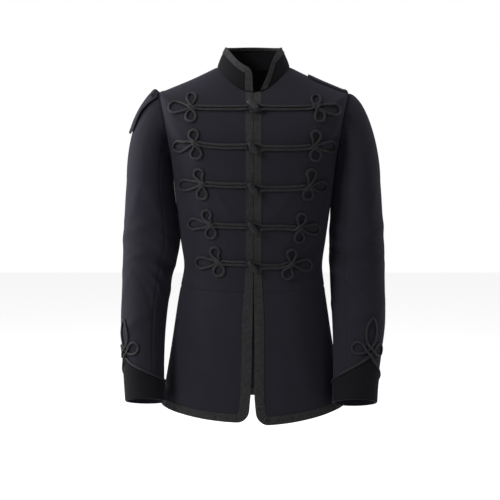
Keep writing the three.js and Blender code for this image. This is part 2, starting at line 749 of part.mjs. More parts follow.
function skirtBackGrid() {
  return [0, skirtRuns[HEM_ROW], ...plainRuns].map((run) => {
    const halfRow = (side) => spreadTurns(side, SIDE_TURN + seamTurn(side, SIDE_TURN, run), 90, run, 9)
      .map((turn) => bodyPlace(side, turn, run));
    const right = halfRow(-1).map(({ p, n }) => ({ p: vec(-p.x, p.y, p.z), n: vec(-n.x, n.y, n.z) }));
    return [...halfRow(1), ...right.reverse().slice(1)];
  });
}

// The braid bound over a front edge, round the corner and along the hem to the side seam
function frontBinding(side) {
  const upper = [NECK_RUN - 3, ...upperRuns.slice(1, -1).reverse(), WAIST_RUN];
  const steps = [...upper, ...skirtRuns.slice(cornerSteps.length, -1).reverse()].map((run) => ({
    edge: bodyPlace(side, turnAtX(clothEdge(side, run), run), run),
    inset: bodyPlace(side, turnAtX(clothEdge(side, run) + braidWidth(run), run), run),
  }));
  for (const { sin, cos } of [...cornerSteps].reverse()) {
    const run = CORNER_RADIUS * (1 - cos);
    const innerRun = CORNER_RADIUS - (CORNER_RADIUS - HEM_BRAID) * cos;
    const centre = clothEdge(side, run) + CORNER_RADIUS;
    const innerX = centre - (CORNER_RADIUS - mix(HEM_BRAID, FRONT_BRAID_HEM, sin)) * sin;
    steps.push({
      edge: bodyPlace(side, turnAtX(centre - CORNER_RADIUS * sin, run), run),
      inset: bodyPlace(side, turnAtX(innerX, innerRun), innerRun),
    });
  }
  const skirt = skirtFrontGrid(side);
  const hem = skirt[0].map((edge, j) => ({ edge, inset: skirt[HEM_ROW][j] }));
  return [...steps, ...hem.slice(2)];
}

function backBinding() {
  const grid = skirtBackGrid();
  return grid[0].map((edge, j) => ({ edge, inset: grid[1][j] }));
}

// Rows of the sleeve: through the cap, then down the arm
const sleeveRows = [
  ...[0, 0.1, 0.25, 0.42, 0.6, 0.8].map((t) => (t - 1) * CAP_RUN),
  0, 44, 80, 112, 140, 166, 190, 214, 250, 300, 350, 395, 425, 450, CUFF_DROP - CAP_DROP,
];
const seamToSeam = (from, to) => spaced(from, to, (to - from) / SLEEVE_STEP);
const topRounds = seamToSeam(FRONT_SLEEVE_SEAM, BACK_SLEEVE_SEAM);
const underRounds = seamToSeam(BACK_SLEEVE_SEAM - 360, FRONT_SLEEVE_SEAM);

function sleeveGrid(side, rounds) {
  return sleeveRows.map((below) => rounds.map((round, j) => {
    const step = sleevePoint(side, round + 0.5, below).distanceTo(sleevePoint(side, round - 0.5, below));
    const trim = HALF_SEAM / step;
    const inward = j === 0 ? trim : 0;
    const outward = j === rounds.length - 1 ? -trim : 0;
    const place = sleevePlace(side, round + inward + outward, below);
    if (below === -CAP_RUN) {
      place.n = armholeNormal(side, round + inward + outward);
    }
    return place;
  }));
}

// Height of the velvet cuff at a turn of the sleeve, rising in a hollow curve to its point
function cuffHeight(side, round) {
  const apart = Math.abs(((round - CUFF_POINT[side] + 540) % 360) - 180);
  const near = Math.max(1 - apart / CUFF_REACH, 0);
  return mix(CUFF_LOW, CUFF_HIGH, near ** CUFF_HOLLOW);
}

function cuffGrid(side) {
  const rounds = [...topRounds, ...underRounds.slice(1, -1).map((round) => round + 360)];
  return rounds.map((round) => [0, 0.34, 0.67, 1].map((share) => {
    return sleevePlace(side, round, CUFF_DROP - CAP_DROP - share * cuffHeight(side, round));
  }));
}

// The cord over the cuff: up one edge of the velvet, through three loops, and down the other
function cuffCord(side, panels) {
  const point = CUFF_POINT[side];
  const beside = 0.5 * CORD_WIDTH + CORD_BESIDE;
  const edge = (step) => [step * CUFF_DEGREE, cuffHeight(side, point + step) + beside];
  const rise = CORD_HEIGHT + SEAM;
  const start = CUFF_EDGE_TURNS.map(edge);
  const knot = CUFF_KNOT.map(([a, h, share]) => [a, CUFF_HIGH + h, share * rise]);
  const finish = start.map(([a, h]) => [-a, h]).reverse();
  return flatPath([...start, ...knot, ...finish], false, CUFF_STEP).map(({ x, y, z }) => {
    const place = sleevePlace(side, point + x / CUFF_DEGREE, CUFF_DROP - CAP_DROP - y);
    return settle(place, panels, Math.max(z, 0) + CORD_CLEAR);
  });
}

// The collar's own grid: its front columns and its top row are where the braid lies
function collarGrid() {
  const frontTurn = (side, t) => {
    const { low, high } = COLLAR_FRONT[side];
    const x = mix(low, high, t);
    const half = mix(BODY[BODY.length - 1].half, COLLAR_TOP.half, t);
    return THREE.MathUtils.radToDeg(Math.acos(x / half));
  };
  const insets = [0, 2, 7, COLLAR_BRAID];
  const cornerDrop = insets.map((inset) => {
    const inside = Math.max(COLLAR_CORNER - inset, 0);
    return (COLLAR_CORNER - Math.sqrt(COLLAR_CORNER ** 2 - inside ** 2)) / COLLAR_HEIGHT;
  });
  const shares = [0, 0.36, 1 - COLLAR_BRAID / COLLAR_HEIGHT, 1];
  const columns = [];
  const column = (turnAt, drop) => columns.push(shares.map((share) => {
    const t = share * (1 - drop);
    return collarPlace(turnAt(t), t);
  }));
  insets.forEach((inset, k) => {
    column((t) => -180 + frontTurn(-1, t) - inset / COLLAR_DEGREE, cornerDrop[k]);
  });
  for (let i = 1; i < COLLAR_COLUMNS; i += 1) {
    const share = i / COLLAR_COLUMNS;
    column((t) => {
      const from = -180 + frontTurn(-1, t) - COLLAR_BRAID / COLLAR_DEGREE;
      const to = -360 - frontTurn(1, t) + COLLAR_BRAID / COLLAR_DEGREE;
      return mix(from, to, share);
    }, 0);
  }
  insets.map((inset, k) => [inset, cornerDrop[k]]).reverse()
    .forEach(([inset, drop]) => column((t) => -360 - frontTurn(1, t) + inset / COLLAR_DEGREE, drop));
  return columns;
}

// A round loop above or below its knot, from its outer side over to its inner one
function knotLoop(x, z, size, up) {
  return [
    [x + size * 0.72, z - up * size * 0.82], [x + size, z], [x + size * 0.7, z + up * size * 0.72],
    [x, z + up * size], [x - size * 0.7, z + up * size * 0.72], [x - size, z],
    [x - size * 0.72, z - up * size * 0.82],
  ];
}

// One side of one frog: a cord doubled back on itself through three loops
function frogCord(frog, panel) {
  const { side, line, knotX, knotZ, topX, topZ, lowX, lowZ, tipX, tipZ } = frog;
  const half = CORD_PITCH / 2;
  const rise = CORD_HEIGHT + SEAM;
  const start = LINE_START[side];
  const middle = mix(start, knotX, 0.5);
  const neck = mix(line, knotZ, NECK_SHARE);
  const bulb = tipX - CORD_WIDTH / 2 - LOOP_OUTER;
  const heart = (points) => points.map(([a, b, share]) => [knotX + a, knotZ + b, share * rise]);
  const lowLoop = knotLoop(lowX, lowZ, LOOP_LOW, -1);
  const topLoop = knotLoop(topX, topZ, LOOP_TOP, 1).reverse();
  lowLoop[lowLoop.length - 1].push(rise * LOOP_RISE);
  topLoop[topLoop.length - 1].push(rise * LOOP_RISE);
  const outerHalf = (way) => [
    [bulb - OUTER_NECK, tipZ + way * LOOP_OUTER * 0.86], [bulb, tipZ + way * LOOP_OUTER],
    [bulb + LOOP_OUTER * 0.75, tipZ + way * LOOP_OUTER * 0.66], [bulb + LOOP_OUTER, tipZ],
  ];
  const eyeHalf = (way) => [
    [EYE_NECK.x, line + way * (half + EYE_NECK.wider)],
    ...EYE.map(([x, share]) => [x, line + way * share * EYE_SPREAD]),
  ];
  const cord = [
    [start, line + half], [middle, line + half], [knotX - KNOT_NECK, neck + half],
    ...heart(INTO_LOW), ...lowLoop, ...heart(FROM_LOW),
    ...outerHalf(1), ...outerHalf(-1).reverse().slice(1),
    ...heart(INTO_TOP), ...topLoop, ...heart(FROM_TOP),
    [knotX - KNOT_NECK, neck - half], [middle, line - half], [start, line - half],
  ];
  const closed = side > 0;
  const eye = closed ? [...eyeHalf(-1), ...eyeHalf(1).reverse().slice(1)] : [];
  const places = flatPath([...cord, ...eye], closed).map(({ x, y, z }) => {
    return settle(frontPlace(side, x, y), x > 0 ? [panel] : [], liftAt(x) + Math.max(z, 0));
  });
  return cordOver(places, CORD_WIDTH, CORD_HEIGHT, closed);
}

// A barrel toggle lying slantwise over the eye of its frog
function toggle(row, frog) {
  const half = TOGGLE_LENGTH / 2;
  const radius = TOGGLE_RADIUS * (row === 1 ? TOGGLE_STOUT : 1);
  const outline = TOGGLE_OUTLINE.map(([out, along]) => new THREE.Vector2(out * radius, along * half));
  const geometry = new THREE.LatheGeometry(outline, TOGGLE_SIDES);
  geometry.deleteAttribute('normal');
  geometry.deleteAttribute('uv');
  const place = frontPlace(1, 1, frog.line);
  place.p.addScaledVector(place.n, liftAt(0) + CORD_HEIGHT - SEAM + radius);
  const slant = rad(TOGGLE_SLANT);
  const sideways = vec(1, 0, 0);
  const upwards = place.n.clone().cross(sideways).normalize();
  const along = sideways.multiplyScalar(Math.cos(slant)).addScaledVector(upwards, Math.sin(slant));
  geometry.applyQuaternion(new THREE.Quaternion().setFromUnitVectors(vec(0, 1, 0), along));
  geometry.translate(-1, place.p.y, place.p.z);
  return geometry;
}

// The strap that lies along the shoulder, sewn in at the armhole, its free end standing up a little
function lyingStrap(panels) {
  const bodyUnder = (x, y) => {
    let low = SHOULDER_RUN - 5;
    let high = NECK_RUN;
    for (let k = 0; k < 40; k += 1) {
      const run = (low + high) / 2;
      const row = readTable(BODY, 'run', run);
      const depth = y < 0 ? row.chest : row.spine;
      const size = (Math.abs(x) / row.half) ** row.square + (Math.abs(y) / depth) ** row.square;
      low = size < 1 ? run : low;
      high = size < 1 ? high : run;
    }
    const row = readTable(BODY, 'run', low);
    const c = Math.min((Math.abs(x) / row.half) ** (row.square / 2), 1);
    const turn = THREE.MathUtils.radToDeg(Math.acos(c)) * Math.sign(y || 1);
    return bodyPlace(1, turn, low);
  };
  return STRAP_ROWS.map(({ share, wide }) => {
    const x = mix(STRAP_START, STRAP_END, share);
    const width = STRAP_WIDTH * wide;
    return [-0.5, -0.25, 0, 0.25, 0.5].map((across) => {
      const place = bodyUnder(x, across * width + 0.01);
      return settle(place, panels, STRAP_LIFT * (1 - share) ** 2 + STRAP_CLEAR);
    });
  });
}

// The strap that has come undone: it stands up from the seam and falls out over the sleeve
function fallenStrap() {
  return FALLEN_STRAP.map(({ out, up, fore, twist, taper }, i) => {
    const before = FALLEN_STRAP[Math.max(i - 1, 0)];
    const after = FALLEN_STRAP[Math.min(i + 1, FALLEN_STRAP.length - 1)];
    const along = vec(after.out - before.out, 0, after.up - before.up).normalize();
    const n = vec(-along.z, 0, along.x);
    const level = STRAP_WIDTH * taper * Math.cos(rad(twist));
    const steep = STRAP_WIDTH * taper * Math.sin(rad(twist));
    return [-0.5, -0.17, 0.17, 0.5].map((across) => ({
      p: vec(out, fore + across * level, up - STRAP_CURL * across * across)
        .addScaledVector(n, (across - 0.5) * steep),
      n: n.clone().multiplyScalar(level).add(vec(0, -steep, 0)).normalize(),
    }));
  });
}

const foreparts = {};
for (const side of [-1, 1]) {
  const name = sideName[side];
  foreparts[side] = addPart(`forepart_${name}`, insideCloth(forepartGrid(side)), CLOTH_LOOK, side);
  addPart(`skirt_front_${name}`, insideCloth(skirtFrontGrid(side)), CLOTH_LOOK, side);
  const sleeve = [
    addPart(`sleeve_top_${name}`, insideCloth(sleeveGrid(side, topRounds)), CLOTH_LOOK, side),
    addPart(`sleeve_under_${name}`, insideCloth(sleeveGrid(side, underRounds)), CLOTH_LOOK, side),
  ];
  const cuff = wallOver(cuffGrid(side), { lift: SEAM, thick: VELVET, closed: true });
  addPart(`cuff_${name}`, cuff, VELVET_LOOK, side);
  const cuffKnot = cordOver(cuffCord(side, sleeve), CORD_WIDTH, CORD_HEIGHT, false);
  addPart(`cuff_cord_${name}`, cuffKnot, CORD_LOOK, side);
  addPart(`front_braid_${name}`, bindingOver(frontBinding(side), BRAID), BRAID_LOOK, side);
}
const back = addPart('back', insideCloth(backGrid()), CLOTH_LOOK);
addPart('skirt_back', insideCloth(skirtBackGrid()), CLOTH_LOOK);
addPart('hem_braid_back', bindingOver(backBinding(), BRAID), BRAID_LOOK);

const collar = collarGrid();
const lastColumn = collar.length - 2;
const onCollarEdge = (i, j) => i < 3 || i > lastColumn - 3 || j === collar[0].length - 2;
addPart('collar', wallOver(collar, { lift: -CLOTH, thick: CLOTH }), VELVET_LOOK);
addPart('collar_braid', wallOver(collar, { lift: SEAM, thick: BRAID, cell: onCollarEdge }), BRAID_LOOK);

for (const frog of FROGS) {
  const name = `frog_${sideName[frog.side]}_${frog.row}`;
  addPart(name, frogCord(frog, foreparts[frog.side]), CORD_LOOK, frog.side);
  if (frog.side > 0) {
    addPart(`toggle_${frog.row}`, toggle(frog.row, frog), CORD_LOOK);
  }
}
const lying = lyingStrap([foreparts[1], back]);
addPart('shoulder_strap_left', wallOver(lying, { thick: STRAP_THICK }), CLOTH_LOOK);
addPart('shoulder_strap_right', wallOver(fallenStrap(), { thick: STRAP_THICK }), CLOTH_LOOK, -1);

export default group;
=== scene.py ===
"""A hussar-pattern patrol jacket of navy wool, dressed for its picture.

The jacket's forms are worked out in millimetres from named sizes and short tables, with +Z up, the
front facing -Y and the wearer's left at +X. The origin lies midway between the neck points of the two
shoulder seams. Every piece is made on the wearer's left and mirrored over to the right where needed.
"""

import logging
import math
from dataclasses import dataclass, field
from enum import Enum
from typing import Callable, Sequence

import bpy
import numpy as np
from mathutils import Matrix, Vector


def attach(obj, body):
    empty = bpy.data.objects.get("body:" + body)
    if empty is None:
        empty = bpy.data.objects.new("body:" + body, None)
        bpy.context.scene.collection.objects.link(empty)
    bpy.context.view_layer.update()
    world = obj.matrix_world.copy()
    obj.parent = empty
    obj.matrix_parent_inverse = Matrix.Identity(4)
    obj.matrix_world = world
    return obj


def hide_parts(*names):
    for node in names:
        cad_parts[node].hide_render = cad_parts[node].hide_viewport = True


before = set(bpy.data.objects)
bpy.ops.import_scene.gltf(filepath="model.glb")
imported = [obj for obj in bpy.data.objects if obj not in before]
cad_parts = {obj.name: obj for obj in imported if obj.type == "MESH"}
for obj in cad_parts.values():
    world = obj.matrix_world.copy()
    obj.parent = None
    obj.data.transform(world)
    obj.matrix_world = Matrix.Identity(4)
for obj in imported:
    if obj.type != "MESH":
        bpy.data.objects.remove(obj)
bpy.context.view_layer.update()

log = logging.getLogger("jacket")
Array = np.ndarray
Socket = bpy.types.NodeSocket

MM = 0.001
CLOTH = 2.0
VELVET = 1.8
BRAID = 1.4
SEAM = 0.04
HALF_SEAM = SEAM / 2
SHARP_EDGE = 55.0
SHARP_BRAID = 70.0
SHARP_CORD = 80.0
MIRRORED = np.array([-1.0, 1.0, 1.0])
BACKWARDS = np.array([0.0, 1.0, 0.0])
CLOSE_ROWS = np.array([2.2, 0.9, 0.0])

STITCH_WOBBLE = (0.75, 1.15)
STITCH_SEED = 7
STITCH_SIDES = 6
BARREL_TAPER = 0.62
STRAND_STEPS = 25
STRAND_SIDES = 8
NECK_RADIUS = 0.98
NECK_HEIGHT = 0.72
NECK_STEPS = 20
RING_SIDES = 7


class Side(Enum):
    """The wearer's right and left, by the sign of X."""

    RIGHT = -1
    LEFT = 1

    @property
    def word(self) -> str:
        """The side's name as the nodes spell it."""
        return self.name.lower()


class Edge(Enum):
    """The four edges of a panel's grid of places."""

    FIRST_ROW = "first row"
    LAST_ROW = "last row"
    FIRST_COLUMN = "first column"
    LAST_COLUMN = "last column"


# Forms worked out from named sizes


class Table:
    """Rows of named sizes, read anywhere between them along a smooth curve."""

    def __init__(self, columns: str, rows: Sequence[Sequence[float]]) -> None:
        """Keeps the rows.

        Args:
            columns: The names of the columns, the first of which is the key.
            rows: One row of numbers for each ring, the key rising.
        """
        self.columns = columns.split()
        self.values = np.array(rows, dtype=float)

    def at(self, where: Array) -> dict[str, Array]:
        """Reads every column at some values of the key.

        Args:
            where: Values of the key column.

        Returns:
            The columns by name, each in the shape of `where`.
        """
        where = np.asarray(where, dtype=float)
        keys = self.values[:, 0]
        last = len(keys) - 1
        low = np.clip(np.searchsorted(keys[1:], where, side="left"), 0, last - 1)
        before, high, after = np.maximum(low - 1, 0), low + 1, np.minimum(low + 2, last)
        span = keys[high] - keys[low]
        t = (where - keys[low]) / span
        found = {}
        for column, name in enumerate(self.columns):
            value = self.values[:, column]
            slope_low = (value[high] - value[before]) / (keys[high] - keys[before]) * span
            slope_high = (value[after] - value[low]) / (keys[after] - keys[low]) * span
            rise = value[high] - value[low]
            found[name] = (
                value[low]
                + slope_low * t
                + (3 * rise - 2 * slope_low - slope_high) * t**2
                + (slope_low + slope_high - 2 * rise) * t**3
            )
        return found


@dataclass(frozen=True)
class Crease:
    """One soft crease: where it lies, how it slants and its size in millimetres."""

    side: int
    turn: float
    place: float
    slant: float
    length: float
    width: float
    height: float
    bow: float = 0.0


def creases(*rows: Sequence[float]) -> tuple[Crease, ...]:
    """Creases from rows of side, turn, place, slant, length, width, height and bow."""
    return tuple(Crease(int(row[0]), *row[1:]) for row in rows)


def smooth(value: Array, low: float, high: float) -> Array:
    """A smooth step from 0 at `low` to 1 at `high`."""
    t = np.clip((np.asarray(value, dtype=float) - low) / (high - low), 0.0, 1.0)
    return t * t * (3 - 2 * t)


def mix(low: float, high: float, share: Array) -> Array:
    """The value at a share of the way from `low` to `high`."""
    return low + (high - low) * share


def unit(vectors: Array) -> Array:
    """Vectors brought to unit length."""
    return vectors / np.maximum(np.linalg.norm(vectors, axis=-1, keepdims=True), 1e-9)


def distances(line: Array) -> Array:
    """Distance of each point of a line from its start, along the line."""
    return np.concatenate([[0], np.cumsum(np.linalg.norm(np.diff(line, axis=0), axis=1))])


def crease_height(
    folds: Sequence[Crease], side: int, turn: Array, place: Array, mm_per_degree: float
) -> Array:
    """Adds up the creases of one side.

    Args:
        folds: The creases of the form.
        side: -1 for the wearer's right and 1 for the left.
        turn: Turns round the form, in degrees.
        place: Distances up or down the form.
        mm_per_degree: How far a degree of turn goes.

    Returns:
        The height of the cloth over its plain form.
    """
    height = np.zeros(np.broadcast(turn, place).shape)
    for fold in folds:
        if fold.side not in (side, 0):
            continue
        across = ((turn - fold.turn + 540.0) % 360.0 - 180.0) * mm_per_degree
        up = place - fold.place
        slant = math.radians(fold.slant)
        along = across * math.cos(slant) + up * math.sin(slant)
        aside = up * math.cos(slant) - across * math.sin(slant)
        aside = aside - fold.bow * (along / fold.length) ** 2
        height = height + fold.height * np.exp(-((along / fold.length) ** 2) - (aside / fold.width) ** 2)
    return height


@dataclass
class Places:
    """Points with their outward directions, in rows and columns."""

    p: Array
    n: Array

    def lifted(self, height: Array | float) -> Array:
        """The points moved out by a height."""
        height = np.asarray(height, dtype=float)
        return self.p + self.n * (height[..., None] if height.ndim else height)

    def mirrored(self) -> "Places":
        """The same places on the other side."""
        return Places(self.p * MIRRORED, self.n * MIRRORED)

    def joined(self, other: "Places") -> "Places":
        """These places and then another half's, backwards, without the last one that both share."""
        ours, theirs = (self.p, self.n), (other.p[..., -2::-1, :], other.n[..., -2::-1, :])
        return Places(*(np.concatenate(pair, axis=-2) for pair in zip(ours, theirs)))


Surface = Callable[[Array, Array], Array]


def places_on(surface: Surface, u: Array, v: Array, du: float, dv: float, flip: bool) -> Places:
    """Points of a surface with their outward directions, by small steps either way.

    Args:
        surface: Gives the points at some u and v.
        u: First coordinates.
        v: Second coordinates.
        du: Step in u.
        dv: Step in v.
        flip: Whether the directions are turned round.

    Returns:
        The places.
    """
    along = surface(u + du, v) - surface(u - du, v)
    up = surface(u, v + dv) - surface(u, v - dv)
    n = unit(np.cross(along, up))
    return Places(surface(u, v), -n if flip else n)


WAIST_RUN = 261.0
ARMPIT_RUN = 554.0
SHOULDER_RUN = 679.0
NECK_RUN = 815.0
SIDE_TURN = 4.0
ARMHOLE_TURN = 25.0


@dataclass
class BodyForm:
    """Outer surface of the jacket's body. turn is 0 at the side, -90 in front and 90 behind."""

    sway_left: float = -0.4
    left_front_drop: float = 6.0
    mm_per_degree: float = 2.6
    rings: Table = field(
        default_factory=lambda: Table(
            "run half chest spine side front back square sweep sway",
            (
                (0, 203, 127, 131, -739, -758, -749, 2.15, 2.2, 1),
                (75, 188, 121, 126, -664, -680, -672, 2.15, 2.2, 3),
                (141, 176, 117, 121, -598, -610, -603, 2.2, 2.2, 4),
                (229, 162.5, 112, 113, -510, -515, -512, 2.3, 2.2, 4),
                (261, 157.5, 110, 109, -478, -483, -480, 2.3, 2.2, 3),
                (306, 152, 109, 105, -433, -436, -434, 2.3, 2.2, 1),
                (361, 159, 113, 107, -378, -379, -379, 2.3, 2.2, 1),
                (439, 169, 122, 117, -300, -299, -300, 2.4, 2.2, 0),
                (499, 176, 127, 123, -240, -238, -240, 2.45, 2.2, 0),
                (554, 184, 128, 126, -185, -183, -186, 2.5, 2.2, 0),
                (616, 201, 124, 124, -119, -147, -128, 2.75, 1.9, 0),
                (679, 205, 114, 112, -56, -114, -78, 2.35, 1.45, 0),
                (700, 190, 109, 104, -49, -104, -62, 2.25, 1.4, 0),
                (750, 134, 94, 83, -26, -80, -30, 2.1, 1.6, 0),
                (815, 79, 76, 60, 0, -58, -2, 2.0, 2.2, 0),
            ),
        )
    )
    opening: Table = field(
        default_factory=lambda: Table(
            "run right left",
            (
                (0, 10.5, 7.5),
                (25, 9, 4.5),
                (60, 6, 1.6),
                (141, 3.2, 1.8),
                (261, 0.9, 0.5),
                (340, HALF_SEAM, HALF_SEAM),
                (815, HALF_SEAM, HALF_SEAM),
            ),
        )
    )
    folds: tuple[Crease, ...] = creases(
        (-1, -52, 318, 24, 70, 13, 3.2),
        (-1, -40, 280, 14, 60, 11, 2.6),
        (-1, -46, 352, 34, 58, 12, -2.2),
        (1, -50, 308, 20, 66, 12, 3.0),
        (1, -38, 272, 10, 58, 11, 2.4),
        (1, -44, 340, 30, 62, 12, -2.4),
        (-1, -60, 120, 84, 110, 26, 3.0),
        (1, -56, 110, 96, 120, 28, 3.4),
        (-1, 40, 110, 94, 120, 30, 4.5),
        (1, 44, 105, 86, 120, 30, 4.0),
        (-1, 50, 300, 18, 70, 14, 3.0),
        (1, 54, 312, 22, 66, 14, 2.8),
        (-1, -48, 560, 66, 70, 17, 3.0),
        (1, -46, 556, 62, 74, 16, 3.4),
    )
    fine_folds: tuple[Crease, ...] = creases(
        (-1, -30, 300, 30, 44, 6, 1.3, 5),
        (-1, -24, 266, 12, 40, 5, 1.0, -4),
        (-1, -60, 384, 48, 50, 8, 1.4, 6),
        (-1, -70, 452, 62, 64, 9, 1.5, 8),
        (-1, -58, 508, 44, 52, 7, -1.3, -5),
        (-1, -34, 470, 76, 60, 11, 0.9, 6),
        (-1, -66, 226, 20, 46, 8, 1.2, -5),
        (-1, -74, 60, 88, 70, 12, 1.4, 6),
        (-1, -40, 90, 98, 80, 13, 1.2, -7),
        (1, -28, 292, 26, 46, 6, 1.2, 5),
        (1, -22, 262, 8, 38, 5, 1.0, -4),
        (1, -62, 376, 50, 54, 8, 1.5, 6),
        (1, -72, 446, 58, 62, 9, 1.4, 8),
        (1, -56, 516, 40, 50, 7, -1.4, -5),
        (1, -36, 392, 70, 56, 10, 1.1, -6),
        (1, -64, 232, 16, 44, 8, 1.1, 5),
        (1, -72, 70, 94, 74, 12, 1.5, -6),
        (1, -36, 84, 84, 84, 13, 1.2, 7),
        (-1, 30, 276, 10, 60, 7, 1.3, 5),
        (-1, 60, 340, 30, 66, 9, 1.6, 8),
        (-1, 44, 520, 64, 80, 11, 1.8, -8),
        (-1, 66, 120, 92, 90, 14, 1.8, 6),
        (-1, 28, 420, 56, 58, 9, 1.3, 6),
        (1, 32, 282, 12, 58, 7, 1.3, -5),
        (1, 62, 330, 34, 64, 9, 1.5, 8),
        (1, 46, 528, 60, 78, 11, 1.8, 8),
        (1, 64, 96, 88, 92, 14, 1.8, -6),
        (1, 30, 430, 52, 60, 9, 1.3, -6),
        (-1, -40, 640, 30, 54, 9, 1.2, 6),
        (1, -42, 646, 26, 52, 9, 1.2, -6),
        (-1, 40, 650, 28, 60, 10, 1.3, 6),
        (1, 42, 644, 32, 58, 10, 1.3, -6),
    )

    def point(self, side: int, turn: Array, run: Array) -> Array:
        """Points of the body, on the wearer's left.

        Args:
            side: The side whose folds and sway they take.
            turn: Turns in degrees.
            run: Distances up the side.

        Returns:
            The points, in millimetres.
        """
        turn, run = np.broadcast_arrays(np.asarray(turn, dtype=float), np.asarray(run, dtype=float))
        row = self.rings.at(run)
        c, s = np.cos(np.radians(turn)), np.sin(np.radians(turn))
        power = 2 / row["square"]
        front = s < 0
        sweep = np.abs(s) ** row["sweep"]
        half = row["half"] + row["sway"] * (1.0 if side < 0 else self.sway_left)
        x = half * np.sign(c) * np.abs(c) ** power
        y = np.where(front, row["chest"], row["spine"]) * np.sign(s) * np.abs(s) ** power
        z = mix(row["side"], np.where(front, row["front"], row["back"]), sweep)
        fade = smooth(np.abs(turn - SIDE_TURN), 4, 16) * smooth(np.abs(90 - np.abs(turn)), 2, 12)
        push = crease_height(self.folds, side, turn, run, self.mm_per_degree) * fade
        if side:
            push = push + crease_height(self.fine_folds, side, turn, run, self.mm_per_degree) * fade
        if side > 0:
            z = z - front * self.left_front_drop * sweep**2 * (1 - smooth(run, 0, WAIST_RUN))
        return np.stack([x + push * c, y + push * s, z], axis=-1)

    def place(self, side: int, turn: Array, run: Array) -> Places:
        """Places on the body with their outward directions."""
        turn, run = np.broadcast_arrays(np.asarray(turn, dtype=float), np.asarray(run, dtype=float))
        return places_on(lambda u, v: self.point(side, u, v), turn, run, 0.3, 1.0, False)

    def turn_at(self, x: Array, run: Array) -> Array:
        """The turn in front at a distance from the centre plane."""
        row = self.rings.at(run)
        share = np.minimum(np.maximum(x, 0) / row["half"], 1.0)
        return -np.degrees(np.arccos(share ** (row["square"] / 2)))

    def cloth_edge(self, side: int, run: Array) -> Array:
        """Distance of the cloth's front edge from the centre plane."""
        row = self.opening.at(run)
        return (row["right"] if side < 0 else row["left"]) + BRAID + SEAM

    def spread(
        self, side: int, start: Array, stop: Array, run: Array, step: "Steps"
    ) -> Array:
        """Turns that divide each ring by length.

        Args:
            side: The side of the body.
            start: The first turn of each ring.
            stop: The last turn of each ring.
            run: The ring's distance up the side.
            step: How the length is divided.

        Returns:
            The turns, one row for each ring.
        """
        fine = np.linspace(0.0, 1.0, 72)
        turns = start[:, None] + (stop - start)[:, None] * fine
        points = self.point(side, turns, run[:, None])
        lengths = np.concatenate(
            [np.zeros((len(run), 1)), np.cumsum(np.linalg.norm(np.diff(points, axis=1), axis=-1), axis=1)],
            axis=1,
        )
        return np.stack([np.interp(step.over(row[-1]), row, turn) for row, turn in zip(lengths, turns)])

    def in_front(self, side: int, x: Array, z: Array) -> Places:
        """The places on the front at some distances from the centre line and heights.

        Args:
            side: The side of the body.
            x: Distances towards the side, negative over the centre line.
            z: Heights.

        Returns:
            The places.
        """
        away = np.maximum(np.abs(x), 0.05)
        run = NECK_RUN + (z - self.rings.values[-1, 5])
        for _ in range(24):
            low = self.point(side, self.turn_at(away, run), run)[..., 2]
            high = self.point(side, self.turn_at(away, run + 1), run + 1)[..., 2]
            run = run + np.clip((z - low) / (high - low), -40, 40)
        found = self.place(side, self.turn_at(away, run), run)
        over = np.where(x < 0, -1.0, 1.0)
        found.p[..., 0] *= over
        found.n[..., 0] *= over
        return found


@dataclass(frozen=True)
class Steps:
    """Division of a length: close together at its two ends and even between them."""

    count: int
    close: tuple[float, ...] = (0.0, 0.9, 2.2, 4.0)

    def over(self, length: float) -> Array:
        """Distances from 0 to a length."""
        close = np.array(self.close)
        inner = np.linspace(close[-1], length - close[-1], self.count)
        return np.concatenate([close[:-1], inner, length - close[:-1][::-1]])


def armhole_run(round_: Array) -> Array:
    """Distance up the side of the armhole's edge; 0 is the underarm and 180 the shoulder point."""
    middle, reach = (ARMPIT_RUN + SHOULDER_RUN) / 2, (SHOULDER_RUN - ARMPIT_RUN) / 2
    return middle - reach * np.cos(np.radians(round_))


def armhole_turn(round_: Array) -> Array:
    """Turn of the armhole's edge on the body."""
    return SIDE_TURN - ARMHOLE_TURN * np.sin(np.radians(round_))


def round_at(run: Array) -> Array:
    """The place round the armhole at a distance up the side."""
    middle, reach = (ARMPIT_RUN + SHOULDER_RUN) / 2, (SHOULDER_RUN - ARMPIT_RUN) / 2
    return np.degrees(np.arccos(np.clip((middle - run) / reach, -1, 1)))


CAP_DROP = 246.0
CUFF_DROP = 722.0
CAP_RUN = 150.0

SLEEVE_COLUMNS = "drop x y across deep pitch"
SLEEVE_RINGS = {
    -1: Table(
        SLEEVE_COLUMNS,
        (
            (246, 227.4, 2, 51.1, 77, 0),
            (290, 226.6, 3, 55.4, 76, 0),
            (378, 224.4, 4, 62.6, 71, 3),
            (466, 235, -4, 54.5, 65, 9),
            (554, 241, -27, 49.5, 59, 15),
            (620, 240, -47, 45.5, 54, 17),
            (686, 236.5, -68.5, 43, 50, 18),
            (722, 233, -80.5, 43, 49, 18),
        ),
    ),
    1: Table(
        SLEEVE_COLUMNS,
        (
            (246, 227.4, 2, 51.1, 77, 0),
            (290, 226.6, 3, 55.4, 76, 0),
            (378, 227.5, 4, 60, 70, 3),
            (466, 229, -6, 60, 63, 10),
            (554, 230.5, -33, 58, 56, 17),
            (620, 226, -58, 52.5, 51, 20),
            (686, 220, -82, 48, 47, 20.5),
            (722, 217.5, -95.5, 47, 46, 20.5),
        ),
    ),
}
